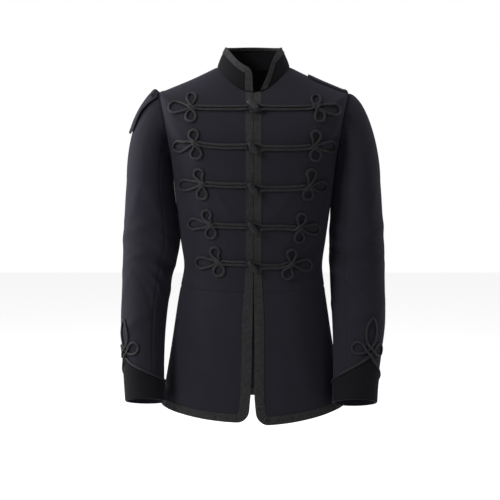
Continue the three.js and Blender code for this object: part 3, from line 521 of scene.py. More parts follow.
SLEEVE_FOLDS = creases(
    (-1, 55, 395, -34, 48, 10, 6.2),
    (-1, 70, 428, -22, 56, 9, -4.6),
    (-1, 48, 455, -40, 46, 9, 6.0),
    (-1, 118, 350, 24, 66, 14, 2.8),
    (-1, 250, 400, 16, 60, 14, 3.4),
    (-1, 80, 268, -58, 70, 14, 3.4),
    (-1, 104, 560, 30, 60, 13, 2.4),
    (1, 52, 388, 32, 52, 11, 4.6),
    (1, 66, 420, 20, 54, 10, -3.2),
    (1, 46, 452, 36, 50, 12, 4.8),
    (1, 124, 362, -20, 64, 14, 3.0),
    (1, 246, 410, -18, 64, 14, 3.6),
    (1, 84, 274, 62, 66, 14, 3.2),
    (1, 96, 548, -26, 64, 13, 2.4),
)
FINE_SLEEVE_FOLDS = creases(
    (-1, 60, 372, -46, 34, 5, 3.2, 4),
    (-1, 44, 418, -30, 36, 5, 3.8, -4),
    (-1, 62, 474, -50, 42, 5.5, 3.4, 5),
    (-1, 80, 500, -64, 50, 7, -2.6, 6),
    (-1, 90, 400, -14, 46, 6, 2.4, -5),
    (-1, 130, 420, 30, 60, 9, 1.5, 7),
    (-1, 150, 500, 70, 70, 10, 1.4, 8),
    (-1, 96, 610, 22, 44, 7, 1.4, 4),
    (-1, 70, 310, -66, 58, 9, 1.8, 7),
    (-1, 120, 290, 74, 66, 11, 1.6, -8),
    (-1, 230, 360, 30, 56, 9, 1.8, 6),
    (-1, 262, 440, -6, 50, 8, 2.0, -5),
    (-1, 290, 400, 12, 40, 8, 2.2, 4),
    (-1, 240, 520, 56, 62, 10, 1.4, 7),
    (-1, 20, 330, -50, 46, 8, 1.8, 5),
    (-1, 330, 500, -30, 50, 9, 1.6, 6),
    (1, 58, 366, 44, 36, 5, 2.8, -4),
    (1, 42, 412, 26, 38, 5, 3.2, 4),
    (1, 60, 470, 48, 44, 6, 2.8, -5),
    (1, 78, 496, 62, 52, 8, -1.6, -6),
    (1, 92, 396, 12, 48, 7, 1.4, 5),
    (1, 134, 428, -28, 62, 9, 1.5, -7),
    (1, 152, 506, -68, 68, 10, 1.4, -8),
    (1, 92, 604, -18, 46, 7, 1.4, -4),
    (1, 72, 316, 64, 56, 9, 1.8, -7),
    (1, 122, 296, -72, 64, 11, 1.6, 8),
    (1, 228, 366, -28, 58, 9, 1.8, -6),
    (1, 260, 446, 8, 50, 8, 2.0, 5),
    (1, 288, 404, -10, 42, 8, 2.2, -4),
    (1, 242, 524, -54, 60, 10, 1.4, -7),
    (1, 22, 336, 48, 48, 8, 1.8, -5),
    (1, 328, 506, 28, 52, 9, 1.6, -6),
)


@dataclass
class SleeveForm:
    """Outer surface of one sleeve. round is 0 facing the body, 90 in front and 180 outside."""

    side: Side
    body: BodyForm
    fullness: dict[int, tuple[float, float, float]] = field(
        default_factory=lambda: {-1: (42.0, 100.0, -0.2), 1: (40.0, 72.0, 0.02)}
    )
    ease_count: float = 34.0
    ease_height: float = 0.55

    def ring(self, round_: Array, below: Array) -> Array:
        """Points of the sleeve under the arm, at some distance below the underarm ring."""
        side = self.side.value
        row = SLEEVE_RINGS[side].at(CAP_DROP + below)
        c, s = np.cos(np.radians(round_)), np.sin(np.radians(round_))
        calm = smooth(np.abs(CUFF_DROP - CAP_DROP - below), 90, 150) * smooth(below, 0, 30)
        push = crease_height(SLEEVE_FOLDS + FINE_SLEEVE_FOLDS, side, round_, CAP_DROP + below, 1.0) * calm
        pitch = np.radians(row["pitch"])
        fore = -(row["deep"] + push) * s
        return np.stack(
            [
                row["x"] - (row["across"] + push) * c,
                row["y"] + fore * np.cos(pitch),
                -row["drop"] - fore * np.sin(pitch),
            ],
            axis=-1,
        )

    def cap(self, round_: Array, below: Array) -> Array:
        """Points of the sleeve head, from the armhole over to the underarm ring."""
        side = self.side.value
        out, fall, lift_top = self.fullness[side]
        t = 1 + below / CAP_RUN
        over = (1 - np.cos(np.radians(round_))) / 2
        lift = mix(0.35, lift_top, over)
        start = unit(np.stack([np.ones_like(lift), np.zeros_like(lift), lift], axis=-1))
        top = self.body.point(side, armhole_turn(round_), armhole_run(round_)) + start * SEAM
        end = self.ring(round_, np.zeros_like(round_))
        first = top + start * mix(3, out, over**1.2)[..., None]
        second = end + np.array([0.0, 0.0, 1.0]) * mix(26, fall, over**1.1)[..., None]
        u = 1 - t[..., None]
        t = t[..., None]
        return top * u**3 + first * 3 * u**2 * t + second * 3 * u * t**2 + end * t**3

    def point(self, round_: Array, below: Array) -> Array:
        """Points of the sleeve; `below` is negative up in the head."""
        round_, below = np.broadcast_arrays(np.asarray(round_, float), np.asarray(below, float))
        head = self.cap(round_, np.minimum(below, 0.0))
        return np.where((below < 0)[..., None], head, self.ring(round_, np.maximum(below, 0.0)))

    def place(self, round_: Array, below: Array) -> Places:
        """Places on the sleeve with their outward directions."""
        round_, below = np.broadcast_arrays(np.asarray(round_, float), np.asarray(below, float))
        found = places_on(self.point, round_, below, 0.5, 1.0, True)
        near_seam = np.exp(-(((below + CAP_RUN - 9) / 11) ** 2))
        over_top = smooth(-np.abs(round_ % 360 - 180), -95, -30)
        ripple = np.cos(np.radians(round_) * self.ease_count)
        found.p = found.p + found.n * (self.ease_height * near_seam * over_top * ripple)[..., None]
        return found


@dataclass
class CollarForm:
    """The stand collar. turn runs round the neck, and t from the neck seam to the top edge."""

    body: BodyForm
    half: float = 60.5
    chest: float = 67.0
    spine: float = 51.0
    side: float = 42.0
    front: float = -6.0
    back: float = 46.0
    sweep: float = 2.2
    bulge: float = 1.5
    height: float = 48.0
    mm_per_degree: float = 1.2
    corner: float = 13.0
    fronts: dict[int, tuple[float, float]] = field(default_factory=lambda: {-1: (1.9, 5.0), 1: (14.0, 44.0)})

    def point(self, turn: Array, t: Array) -> Array:
        """Points of the collar's outer face."""
        turn, t = np.broadcast_arrays(np.asarray(turn, float), np.asarray(t, float))
        base = self.body.point(0, turn, np.full_like(turn, NECK_RUN))
        base = base + np.array([0, 0, SEAM + CLOTH * 0.4])
        c, s = np.cos(np.radians(turn)), np.sin(np.radians(turn))
        weight = np.abs(s) ** self.sweep
        top = np.stack(
            [
                self.half * c,
                np.where(s < 0, self.chest, self.spine) * s,
                mix(self.side, np.where(s < 0, self.front, self.back), weight),
            ],
            axis=-1,
        )
        bulge = self.bulge * 4 * t * (1 - t)
        out = np.stack([bulge * c, bulge * s, np.zeros_like(c)], axis=-1)
        return base * (1 - t[..., None]) + top * t[..., None] + out

    def place(self, turn: Array, t: Array) -> Places:
        """Places on the collar with their outward directions."""
        turn, t = np.broadcast_arrays(np.asarray(turn, float), np.asarray(t, float))
        return places_on(self.point, turn, t, 0.5, 0.02, False)

    def end_turn(self, side: int, t: Array, inset: Array | float = 0.0) -> Array:
        """The turn of a front edge, or of a line set in from it.

        Args:
            side: The side of the front edge.
            t: Shares of the collar's height.
            inset: Millimetres in from the edge.

        Returns:
            The turns, falling from -90 on the wearer's right round the neck to -450 on the left.
        """
        low, high = self.fronts[side]
        half = mix(self.body.rings.values[-1, 1], self.half, t)
        turn = np.degrees(np.arccos(mix(low, high, t) / half))
        if side < 0:
            return -180 + turn - inset / self.mm_per_degree
        return -360 - turn + inset / self.mm_per_degree


# Meshes from places


def grid_lengths(points: Array) -> tuple[Array, Array]:
    """Lengths along the columns and the rows of a grid of points, in millimetres.

    Args:
        points: A grid of points.

    Returns:
        The distance of each point from the first column and from the first row.
    """
    across = np.linalg.norm(np.diff(points, axis=1), axis=-1)
    up = np.linalg.norm(np.diff(points, axis=0), axis=-1)
    across = np.concatenate([np.zeros((points.shape[0], 1)), np.cumsum(across, axis=1)], axis=1)
    up = np.concatenate([np.zeros((1, points.shape[1])), np.cumsum(up, axis=0)], axis=0)
    return across, up


def seam_dip(points: Array, edges: Sequence[Edge], depth: float = 1.1, reach: float = 2.3) -> Array:
    """How far the cloth sinks where it is sewn down at some of its edges.

    Args:
        points: A grid of points.
        edges: The sewn edges.
        depth: Depth at the very edge.
        reach: How soon it rises again.

    Returns:
        Heights for the grid, none above 0.
    """
    across, up = grid_lengths(points)
    away = {
        Edge.FIRST_COLUMN: across,
        Edge.LAST_COLUMN: across[:, -1:] - across,
        Edge.FIRST_ROW: up,
        Edge.LAST_ROW: up[-1:, :] - up,
    }
    dip = np.zeros(points.shape[:2])
    for edge in edges:
        dip = np.minimum(dip, -depth * np.exp(-((away[edge] / reach) ** 2)))
    return dip


@dataclass
class Shape:
    """Points, four-sided faces and a flat map of a piece, in millimetres."""

    points: Array
    faces: Array
    flat: Array

    def outward(self) -> "Shape":
        """The same shape with its faces turned outwards."""
        p = self.points[self.faces]
        volume = np.sum(np.cross(p[:, 0], p[:, 1]) * p[:, 2]) + np.sum(np.cross(p[:, 0], p[:, 2]) * p[:, 3])
        if volume < 0:
            self.faces = self.faces[:, ::-1]
        return self

    def mesh(self, name: str, sharp: float = SHARP_EDGE) -> bpy.types.Mesh:
        """A mesh of the shape in metres.

        Args:
            name: Its name.
            sharp: Edges that turn more than this many degrees stay crisp.

        Returns:
            The mesh, smooth, with its flat map.
        """
        mesh = bpy.data.meshes.new(name)
        faces = self.faces
        mesh.vertices.add(len(self.points))
        mesh.vertices.foreach_set("co", (self.points * MM).astype(np.float32).ravel())
        mesh.loops.add(faces.size)
        mesh.loops.foreach_set("vertex_index", faces.astype(np.int32).ravel())
        mesh.polygons.add(len(faces))
        mesh.polygons.foreach_set("loop_start", np.arange(0, faces.size, 4, dtype=np.int32))
        flat = mesh.uv_layers.new(name="flat")
        flat.uv.foreach_set("vector", (self.flat[faces.ravel()] * MM).astype(np.float32).ravel())
        mesh.update(calc_edges=True)
        mesh.validate()
        mesh.shade_smooth()
        mesh.set_sharp_from_angle(angle=math.radians(sharp))
        return mesh


def lattice(rows: int, columns: int, closed: bool = False) -> Array:
    """The faces of a grid numbered row by row.

    Args:
        rows: Its rows.
        columns: Its columns.
        closed: Whether the last row joins the first.

    Returns:
        Four point numbers for each face.
    """
    i = np.arange(rows if closed else rows - 1)[:, None]
    j = np.arange(columns - 1)[None, :]
    after = (i + 1) % rows
    here, there = i * columns + j, after * columns + j
    return np.stack([here, there, there + 1, here + 1], -1).reshape(-1, 4)


def wall(outer: Array, inner: Array, closed: bool = False) -> Shape:
    """A closed wall between two grids of points.

    Args:
        outer: The grid of its outer face.
        inner: The grid of its inner face.
        closed: Whether the last row joins the first.

    Returns:
        The wall.
    """
    rows, columns = outer.shape[:2]
    count = rows * columns
    faces = lattice(rows, columns, closed)
    number = np.arange(count).reshape(rows, columns)
    rims = [number[:, 0], number[::-1, -1]]
    if closed:
        rims = [np.append(number[:, 0], 0), np.append(number[::-1, -1], number[-1, -1])]
    else:
        rims += [number[-1, :], number[0, ::-1]]
    sides = [np.stack([r[1:], r[:-1], r[:-1] + count, r[1:] + count], -1) for r in rims]
    across, up = grid_lengths(outer)
    flat = np.stack([across, up], axis=-1).reshape(-1, 2)
    shape = Shape(
        np.concatenate([outer.reshape(-1, 3), inner.reshape(-1, 3)]),
        np.concatenate([faces, faces[:, ::-1] + count, *sides]),
        np.concatenate([flat, flat]),
    )
    return shape.outward()


def sweep(sections: Array, along: Array, around: Array, closed: bool = False) -> Shape:
    """A solid through a row of sections, each a ring of points.

    Args:
        sections: The rings, in order along the path.
        along: Distance of each ring along the path.
        around: Distance of each point round its ring.
        closed: Whether the last ring joins the first.

    Returns:
        The solid, with its ends closed.
    """
    count, sides = sections.shape[:2]
    i = np.arange(count if closed else count - 1)[:, None]
    j = np.arange(sides)[None, :]
    after, beside = (i + 1) % count, (j + 1) % sides
    corners = [i * sides + j, i * sides + beside, after * sides + beside, after * sides + j]
    faces = np.stack(corners, -1).reshape(-1, 4)
    flat = np.stack(np.broadcast_arrays(along[:, None], around[None, :]), axis=-1).reshape(-1, 2)
    points = sections.reshape(-1, 3)
    shape = Shape(points, faces, flat)
    if not closed:
        caps = []
        for first, ring in ((0, sections[0]), ((count - 1) * sides, sections[-1])):
            middle = len(shape.points)
            shape.points = np.concatenate([shape.points, ring.mean(axis=0, keepdims=True)])
            shape.flat = np.concatenate([shape.flat, shape.flat[first : first + 1]])
            numbers = first + np.arange(0, sides, 2)
            third = first + (numbers - first + 2) % sides
            cap = np.stack([numbers, numbers + 1, third, np.full_like(numbers, middle)], -1)
            caps.append(cap if first == 0 else cap[:, ::-1])
        first_cap = caps[0][:, ::-1]
        shape.faces = np.concatenate([faces, first_cap, caps[1][:, ::-1]])
    return shape.outward()


def mirror(shape: Shape, side: Side) -> Shape:
    """The shape on its own side of the jacket, its faces outwards."""
    if side is Side.RIGHT:
        shape.points = shape.points * MIRRORED
        shape.faces = shape.faces[:, ::-1]
    return shape


def smooth_path(controls: Array, closed: bool, step: float) -> Array:
    """Evenly spaced points on a smooth curve through control points.

    Args:
        controls: The points it goes through.
        closed: Whether it returns to its start.
        step: Distance between the points.

    Returns:
        The points.
    """
    c = np.asarray(controls, dtype=float)
    ring = np.vstack([c[-1:], c, c[:2]]) if closed else np.vstack([2 * c[0] - c[1], c, 2 * c[-1] - c[-2]])
    fine = []
    for k in range(1, len(ring) - 2):
        p0, p1, p2, p3 = ring[k - 1 : k + 3]
        t0 = 0.0
        t1 = t0 + max(np.linalg.norm(p1 - p0), 1e-4) ** 0.5
        t2 = t1 + max(np.linalg.norm(p2 - p1), 1e-4) ** 0.5
        t3 = t2 + max(np.linalg.norm(p3 - p2), 1e-4) ** 0.5
        t = np.linspace(t1, t2, 17)[:-1, None]
        a1 = (t1 - t) / (t1 - t0) * p0 + (t - t0) / (t1 - t0) * p1
        a2 = (t2 - t) / (t2 - t1) * p1 + (t - t1) / (t2 - t1) * p2
        a3 = (t3 - t) / (t3 - t2) * p2 + (t - t2) / (t3 - t2) * p3
        b1 = (t2 - t) / (t2 - t0) * a1 + (t - t0) / (t2 - t0) * a2
        b2 = (t3 - t) / (t3 - t1) * a2 + (t - t1) / (t3 - t1) * a3
        fine.append((t2 - t) / (t2 - t1) * b1 + (t - t1) / (t2 - t1) * b2)
    fine.append(ring[1:2] if closed else ring[-2:-1])
    line = np.concatenate(fine)
    lengths = distances(line)
    count = max(int(round(lengths[-1] / step)), 3)
    wanted = np.linspace(0, lengths[-1], count + 1)
    even = np.stack([np.interp(wanted, lengths, line[:, k]) for k in range(line.shape[1])], axis=-1)
    return even[:-1] if closed else even


def laid_cord(path: Places, width: float, height: float, closed: bool, sides: int = 12) -> Shape:
    """A round cord laid on a surface along a path of places.

    Args:
        path: The places under the cord.
        width: Its width.
        height: Its height.
        closed: Whether it returns to its start.
        sides: Points round its section.

    Returns:
        The cord; its flat map runs along it and round it.
    """
    p = path.p
    along = np.roll(p, -1, axis=0) - np.roll(p, 1, axis=0)
    if not closed:
        along[0], along[-1] = p[1] - p[0], p[-1] - p[-2]
    along = unit(along)
    aside = unit(np.cross(along, path.n))
    angles = np.arange(sides) * 2 * math.pi / sides
    out = aside[:, None] * (np.cos(angles) * width / 2)[None, :, None]
    up = path.n[:, None] * ((np.sin(angles) + 1) * height / 2)[None, :, None]
    sections = p[:, None] + out + up
    lengths = distances(p)
    return sweep(sections, lengths, angles / (2 * math.pi) * math.pi * (width + height) / 2, closed)


@dataclass(frozen=True)
class BraidProfile:
    """Section of a flat ribbed braid folded over an edge."""

    ribs: int = 6
    rib_height: float = 0.5
    thick: float = BRAID
    inner_share: float = 1.0
    under: float = CLOTH

    def section(self) -> Array:
        """Rows of share across from the inset to the edge, height, and distance past the edge."""
        outer_gap, inner_gap = SEAM, self.under + SEAM
        share = np.linspace(0.02, 1.0, self.ribs * 4 + 1)
        ribbed = self.rib_height * np.abs(np.sin(math.pi * self.ribs * share))
        height = outer_gap + self.thick - self.rib_height + ribbed
        rows = [(0.0, outer_gap, 0.0), (0.0, outer_gap + self.thick * 0.55, 0.0)]
        rows += [(s, h, 0.0) for s, h in zip(share, height)]
        middle = (outer_gap - inner_gap) / 2
        reach = (outer_gap + inner_gap) / 2 + self.thick
        for angle in (65, 40, 14, -14, -40, -65):
            a = math.radians(angle)
            out = (SEAM + self.thick) * math.cos(a) ** 0.6
            rows.append((1.0, middle + reach * math.sin(a), out))
        far = 1.0 - self.inner_share
        rows += [(mix(1.0, far, k), -inner_gap - self.thick, 0.0) for k in (0.0, 0.33, 0.66, 1.0)]
        rows += [(far, -inner_gap, 0.0), (1.0, -inner_gap, SEAM), (1.0, outer_gap, SEAM)]
        if len(rows) % 2:
            rows.insert(-2, (mix(1.0, far, 0.5), -inner_gap, 0.0))
        return np.array(rows)


def bound_braid(edge: Places, inset: Places, profile: BraidProfile, ripple: Array) -> Shape:
    """A braid folded over an edge.

    Args:
        edge: Places along the edge.
        inset: Places at the braid's width from it.
        profile: The section of the braid.
        ripple: How far the braid stands off at each step.

    Returns:
        The braid; its flat map runs along it and across it.
    """
    section = profile.section()
    share, height, out = section[:, 0], section[:, 1], section[:, 2]
    away = unit(edge.p - inset.p)
    p = inset.p[:, None] + (edge.p - inset.p)[:, None] * share[None, :, None]
    n = unit(inset.n[:, None] + (edge.n - inset.n)[:, None] * share[None, :, None])
    bow = np.sin(math.pi * share) * (height > 0)
    lift = height[None, :] + ripple[:, None] * bow[None, :]
    sections = p + n * lift[..., None] + away[:, None] * out[None, :, None]
    lengths = distances(edge.p)
    width = float(np.mean(np.linalg.norm(edge.p - inset.p, axis=1)))
    return sweep(sections, lengths, share * width + np.where(height < 0, 60.0, 0.0))


def add_object(name: str, data: bpy.types.ID) -> bpy.types.Object:
    """Makes an object of a mesh, a light or a camera and puts it into the scene."""
    made = bpy.data.objects.new(name, data)
    bpy.context.scene.collection.objects.link(made)
    return made


# Node trees


class Tree:
    """Small helper that adds nodes to a tree and links them."""

    def __init__(self, tree: bpy.types.NodeTree) -> None:
        """Takes the tree that is filled."""
        self.tree = tree

    def node(self, kind: str, **settings: object) -> bpy.types.Node:
        """Adds a node and sets its properties by name."""
        made = self.tree.nodes.new(kind)
        for name, value in settings.items():
            setattr(made, name, value)
        return made

    def put(self, value: object, socket: Socket) -> None:
        """Links an output to an input, or sets a plain value on it."""
        if isinstance(value, Socket):
            self.tree.links.new(value, socket)
        else:
            socket.default_value = value

    def feed(self, kind: str, inputs: dict[str | int, object], **settings: object) -> bpy.types.Node:
        """Adds a node, sets its properties and links or fills its inputs."""
        made = self.node(kind, **settings)
        for label, value in inputs.items():
            self.put(value, made.inputs[label])
        return made

    def xyz(self, x: object = 0.0, y: object = 0.0, z: object = 0.0) -> Socket:
        """A vector put together from its parts."""
        return self.feed("ShaderNodeCombineXYZ", {"X": x, "Y": y, "Z": z}).outputs[0]

    def math(self, operation: str, a: object, b: object = 0.0, clamp: bool = False) -> Socket:
        """A Math node's result."""
        made = self.node("ShaderNodeMath", operation=operation, use_clamp=clamp)
        self.put(a, made.inputs[0])
        self.put(b, made.inputs[1])
        return made.outputs[0]

    def noise(self, vector: Socket, scale: float, detail: float, rough: float = 0.5) -> Socket:
        """A noise texture's factor."""
        inputs = {"Vector": vector, "Scale": scale, "Detail": detail, "Roughness": rough}
        return self.feed("ShaderNodeTexNoise", inputs).outputs["Fac"]


def group_of(
    name: str, inputs: Sequence[tuple[str, str, object]], outputs: Sequence[tuple[str, str]]
) -> tuple[Tree, bpy.types.Node, bpy.types.Node]:
    """A new shader node group with its inputs and outputs.

    Args:
        name: Its name.
        inputs: Name, socket type and default of each input.
        outputs: Name and socket type of each output.

    Returns:
        The tree helper, the group input node and the group output node.
    """
    group = bpy.data.node_groups.new(name, "ShaderNodeTree")
    for label, kind, default in inputs:
        socket = group.interface.new_socket(label, in_out="INPUT", socket_type=kind)
        if default is not None:
            socket.default_value = default
    for label, kind in outputs:
        group.interface.new_socket(label, in_out="OUTPUT", socket_type=kind)
    tree = Tree(group)
    return tree, tree.node("NodeGroupInput"), tree.node("NodeGroupOutput")


def make_fibre_group() -> bpy.types.NodeTree:
    """The group for loose fibres and uneven dye: a height and a tone from a place in space."""
    tree, into, out = group_of(
        "fibre_haze",
        (
            ("Vector", "NodeSocketVector", None),
            ("Fibre Scale", "NodeSocketFloat", 900.0),
            ("Patch Scale", "NodeSocketFloat", 14.0),
            ("Tone Range", "NodeSocketFloat", 0.18),
        ),
        (("Height", "NodeSocketFloat"), ("Tone", "NodeSocketFloat")),
    )
    fine = tree.noise(into.outputs["Vector"], into.outputs["Fibre Scale"], 3.0, 0.65)
    patch = tree.noise(into.outputs["Vector"], into.outputs["Patch Scale"], 3.0, 0.6)
    mottled = tree.math("ADD", tree.math("MULTIPLY", fine, 0.5), tree.math("MULTIPLY", patch, 0.5))
    centred = tree.math("SUBTRACT", mottled, 0.5)
    tree.put(fine, out.inputs["Height"])
    change = tree.math("MULTIPLY", centred, into.outputs["Tone Range"])
    tree.put(tree.math("ADD", 1.0, change), out.inputs["Tone"])
    return tree.tree


def make_thread_group() -> bpy.types.NodeTree:
    """The group for slanting threads on a flat map: twill on cloth, or the strands of a plaited cord."""
    tree, into, out = group_of(
        "slanting_threads",
        (
            ("Flat", "NodeSocketVector", None),
            ("Along", "NodeSocketFloat", 1000.0),
            ("Across", "NodeSocketFloat", 1000.0),
            ("Plait", "NodeSocketFloat", 0.0),
        ),
        (("Height", "NodeSocketFloat"),),
    )
    flat = tree.node("ShaderNodeSeparateXYZ")
    tree.put(into.outputs["Flat"], flat.inputs[0])
    along = tree.math("MULTIPLY", flat.outputs["X"], into.outputs["Along"])
    across = tree.math("MULTIPLY", flat.outputs["Y"], into.outputs["Across"])
    right = tree.math("SINE", tree.math("ADD", along, across))
    left = tree.math("SINE", tree.math("SUBTRACT", along, across))
    plait = tree.math("MAXIMUM", right, tree.math("MULTIPLY", left, into.outputs["Plait"]))
    tree.put(tree.math("MULTIPLY", tree.math("ADD", plait, 1.0), 0.5), out.inputs["Height"])
    return tree.tree


@dataclass(frozen=True)
class Finish:
    """What every finish of the jacket has: its colour, gloss, sheen and fibres."""

    name: str
    slot: str
    colour: tuple[float, float, float]
    roughness: float
    sheen: float
    sheen_roughness: float
    sheen_tint: tuple[float, float, float]
    fibre_scale: float
    patch_scale: float
    tone_range: float
    fibre_bump: float
    thread_along: float
    thread_across: float
    plait: float
    thread_bump: float
    specular: float = 0.3
    # How strongly the weave is painted into the colour: painted shade in the grooves and painted highlight on
    # the raised threads.
    thread_shade: float = 0.24
    fibre_height: float = 0.0004
    thread_height: float = 0.0006

    def build(self, fibre: bpy.types.NodeTree, threads: bpy.types.NodeTree) -> bpy.types.Material:
        """Makes the material.

        Args:
            fibre: The group for loose fibres.
            threads: The group for slanting threads.

        Returns:
            The material.
        """
        material = bpy.data.materials.new(self.name)
        material.use_nodes = True
        tree = Tree(material.node_tree)
        shader = material.node_tree.nodes["Principled BSDF"]
        place = tree.node("ShaderNodeTexCoord").outputs
        haze = tree.feed(
            "ShaderNodeGroup",
            {
                "Vector": place["Object"], "Fibre Scale": self.fibre_scale, "Patch Scale": self.patch_scale,
                "Tone Range": self.tone_range,
            },
            node_tree=fibre,
        ).outputs
        weave = tree.feed(
            "ShaderNodeGroup",
            {
                "Flat": place["UV"], "Along": self.thread_along, "Across": self.thread_across,
                "Plait": self.plait,
            },
            node_tree=threads,
        ).outputs["Height"]
        # Painted shade and highlight: the weave's height darkens the grooves between threads and lightens
        # their raised tops in the base colour.
        thread_shade = tree.math("MULTIPLY", weave, self.thread_shade)
        light = tree.math("ADD", 1.0 - self.thread_shade / 2, thread_shade)
        shaded = tree.math("MULTIPLY", haze["Tone"], light)
        grey = tree.feed("ShaderNodeCombineColor", dict.fromkeys(("Red", "Green", "Blue"), shaded))
        tint = tree.feed(
            "ShaderNodeMix",
            {"Factor": 1.0, 6: (*self.colour, 1.0), 7: grey.outputs[0]},
            data_type="RGBA",
            blend_type="MULTIPLY",
        )
        nap = tree.feed(
            "ShaderNodeBump",
            {"Strength": self.fibre_bump, "Distance": self.fibre_height, "Height": haze["Height"]},
        )
        thread = tree.feed(
            "ShaderNodeBump",
            {
                "Strength": self.thread_bump, "Distance": self.thread_height, "Height": weave,
                "Normal": nap.outputs["Normal"],
            },
        )
        surface = {
            "Base Color": tint.outputs[2],
            "Normal": thread.outputs["Normal"],
            "Roughness": self.roughness,
            "Specular IOR Level": self.specular,
            "Sheen Weight": self.sheen,
            "Sheen Roughness": self.sheen_roughness,
            "Sheen Tint": (*self.sheen_tint, 1.0),
        }
        for label, value in surface.items():
            tree.put(value, shader.inputs[label])
        return material


@dataclass(frozen=True)
class Finishes:
    """The four finishes of the jacket."""

    wool: Finish = Finish(
        name="navy_wool_cloth", slot="navy_wool", colour=(0.0104, 0.0096, 0.0156), roughness=0.9,
        sheen=0.09, sheen_roughness=0.42, sheen_tint=(0.66, 0.62, 0.88), fibre_scale=1500.0, patch_scale=16.0,
        tone_range=0.5, fibre_bump=0.35, thread_along=4300.0, thread_across=5200.0, plait=0.0,
        thread_bump=0.12,
    )
    velvet: Finish = Finish(
        name="black_cotton_velvet", slot="black_velvet", colour=(0.0018, 0.0015, 0.0030), roughness=0.95,
        sheen=0.09, sheen_roughness=0.3, sheen_tint=(0.58, 0.5, 0.86), fibre_scale=2600.0, patch_scale=30.0,
        tone_range=0.9, fibre_bump=0.5, thread_along=0.0, thread_across=0.0, plait=0.0, thread_bump=0.0,
    )
    braid: Finish = Finish(
        name="flat_mohair_braid", slot="mohair_braid", colour=(0.0150, 0.0146, 0.0156), roughness=0.58,
        sheen=0.05, sheen_roughness=0.35, sheen_tint=(0.8, 0.8, 0.82), fibre_scale=1800.0, patch_scale=150.0,
        tone_range=5.0, fibre_bump=0.3, thread_along=4600.0, thread_across=2300.0, plait=1.0, thread_bump=0.4,
    )
    cord: Finish = Finish(
        name="plaited_mohair_cord", slot="frogging_cord", colour=(0.0130, 0.0125, 0.0142), roughness=0.56,
        sheen=0.06, sheen_roughness=0.35, sheen_tint=(0.8, 0.8, 0.84), fibre_scale=2200.0, patch_scale=120.0,
        tone_range=3.0, fibre_bump=0.3, thread_along=1700.0, thread_across=2650.0, plait=1.0,
        thread_bump=0.75,
    )


@dataclass(frozen=True)
class Cut:
    """The flat cut of a cloth piece, in metres: its width, its length and its area."""

    width: float
    length: float
    area: float


@dataclass(frozen=True)
class StitchRun:
    """The sizes of a row of stitches, in metres, and how far they slant."""

    spacing: float
    length: float
    thread: float
    slant: float


class Workroom:
    """Turns shapes into dressed pieces on the jacket's one body."""

    def __init__(self, finishes: Finishes) -> None:
        """Builds the materials once."""
        fibre, threads = make_fibre_group(), make_thread_group()
        self.finishes = finishes
        self.materials = {
            finish.name: finish.build(fibre, threads)
            for finish in (finishes.wool, finishes.velvet, finishes.braid, finishes.cord)
        }
        self.stitch_tree = make_stitch_tree()

    def dress(
        self, name: str, mesh: bpy.types.Mesh, finish: Finish, nodes: Sequence[str] = ()
    ) -> bpy.types.Object:
        """Makes a piece of a mesh.

        Args:
            name: The piece's name.
            mesh: Its mesh, in metres.
            finish: What it is made of.
            nodes: The solids that it stands for.

        Returns:
            The piece.
        """
        mesh.materials.clear()
        mesh.materials.append(self.materials[finish.name])
        piece = add_object(name, mesh)
        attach(piece, "root")
        if nodes:
            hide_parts(*nodes)
        log.info("%s: %d faces", name, len(mesh.polygons))
        return piece

    def make(
        self, name: str, shape: Shape, finish: Finish, node: str, sharp: float = SHARP_EDGE
    ) -> bpy.types.Object:
        """Makes a piece of a shape in millimetres that stands for one solid.

        Args:
            name: The piece's name.
            shape: Its shape.
            finish: What it is made of.
            node: The solid that it stands for.
            sharp: The angle from which its edges are left sharp, in degrees.

        Returns:
            The piece.
        """
        return self.dress(name, shape.mesh(name, sharp), finish, [node])

    def make_sheet(
        self, name: str, shape: Shape, finish: Finish, node: str, cut: Cut, held: str
    ) -> None:
        """Makes a piece of cloth.

        Args:
            name: The piece's name.
            shape: Its shape.
            finish: What it is made of.
            node: The solid that it stands for.
            cut: Its flat cut; not used.
        """
        piece = self.make(name, shape, finish, node)

    def sew(self, name: str, line: Array, side: Side | None, run: StitchRun, finish: Finish) -> None:
        """Makes a row of stitches along a line.

        Args:
            name: The piece's name.
            line: Points along the row, on the left half.
            side: The side that it belongs to, or None for both.
            run: The sizes of the stitches.
            finish: The thread's finish.
        """
        if side is Side.RIGHT:
            line = line * MIRRORED
        values = {
            "Spacing": run.spacing,
            "Stitch Length": run.length,
            "Thread": run.thread,
            "Slant": run.slant,
            "Material": self.materials[finish.name],
        }
        mesh = self.stitch_tree.run(name, line_mesh(f"{name}_line", line), values)
        self.dress(name, mesh, finish)


# Geometry node trees


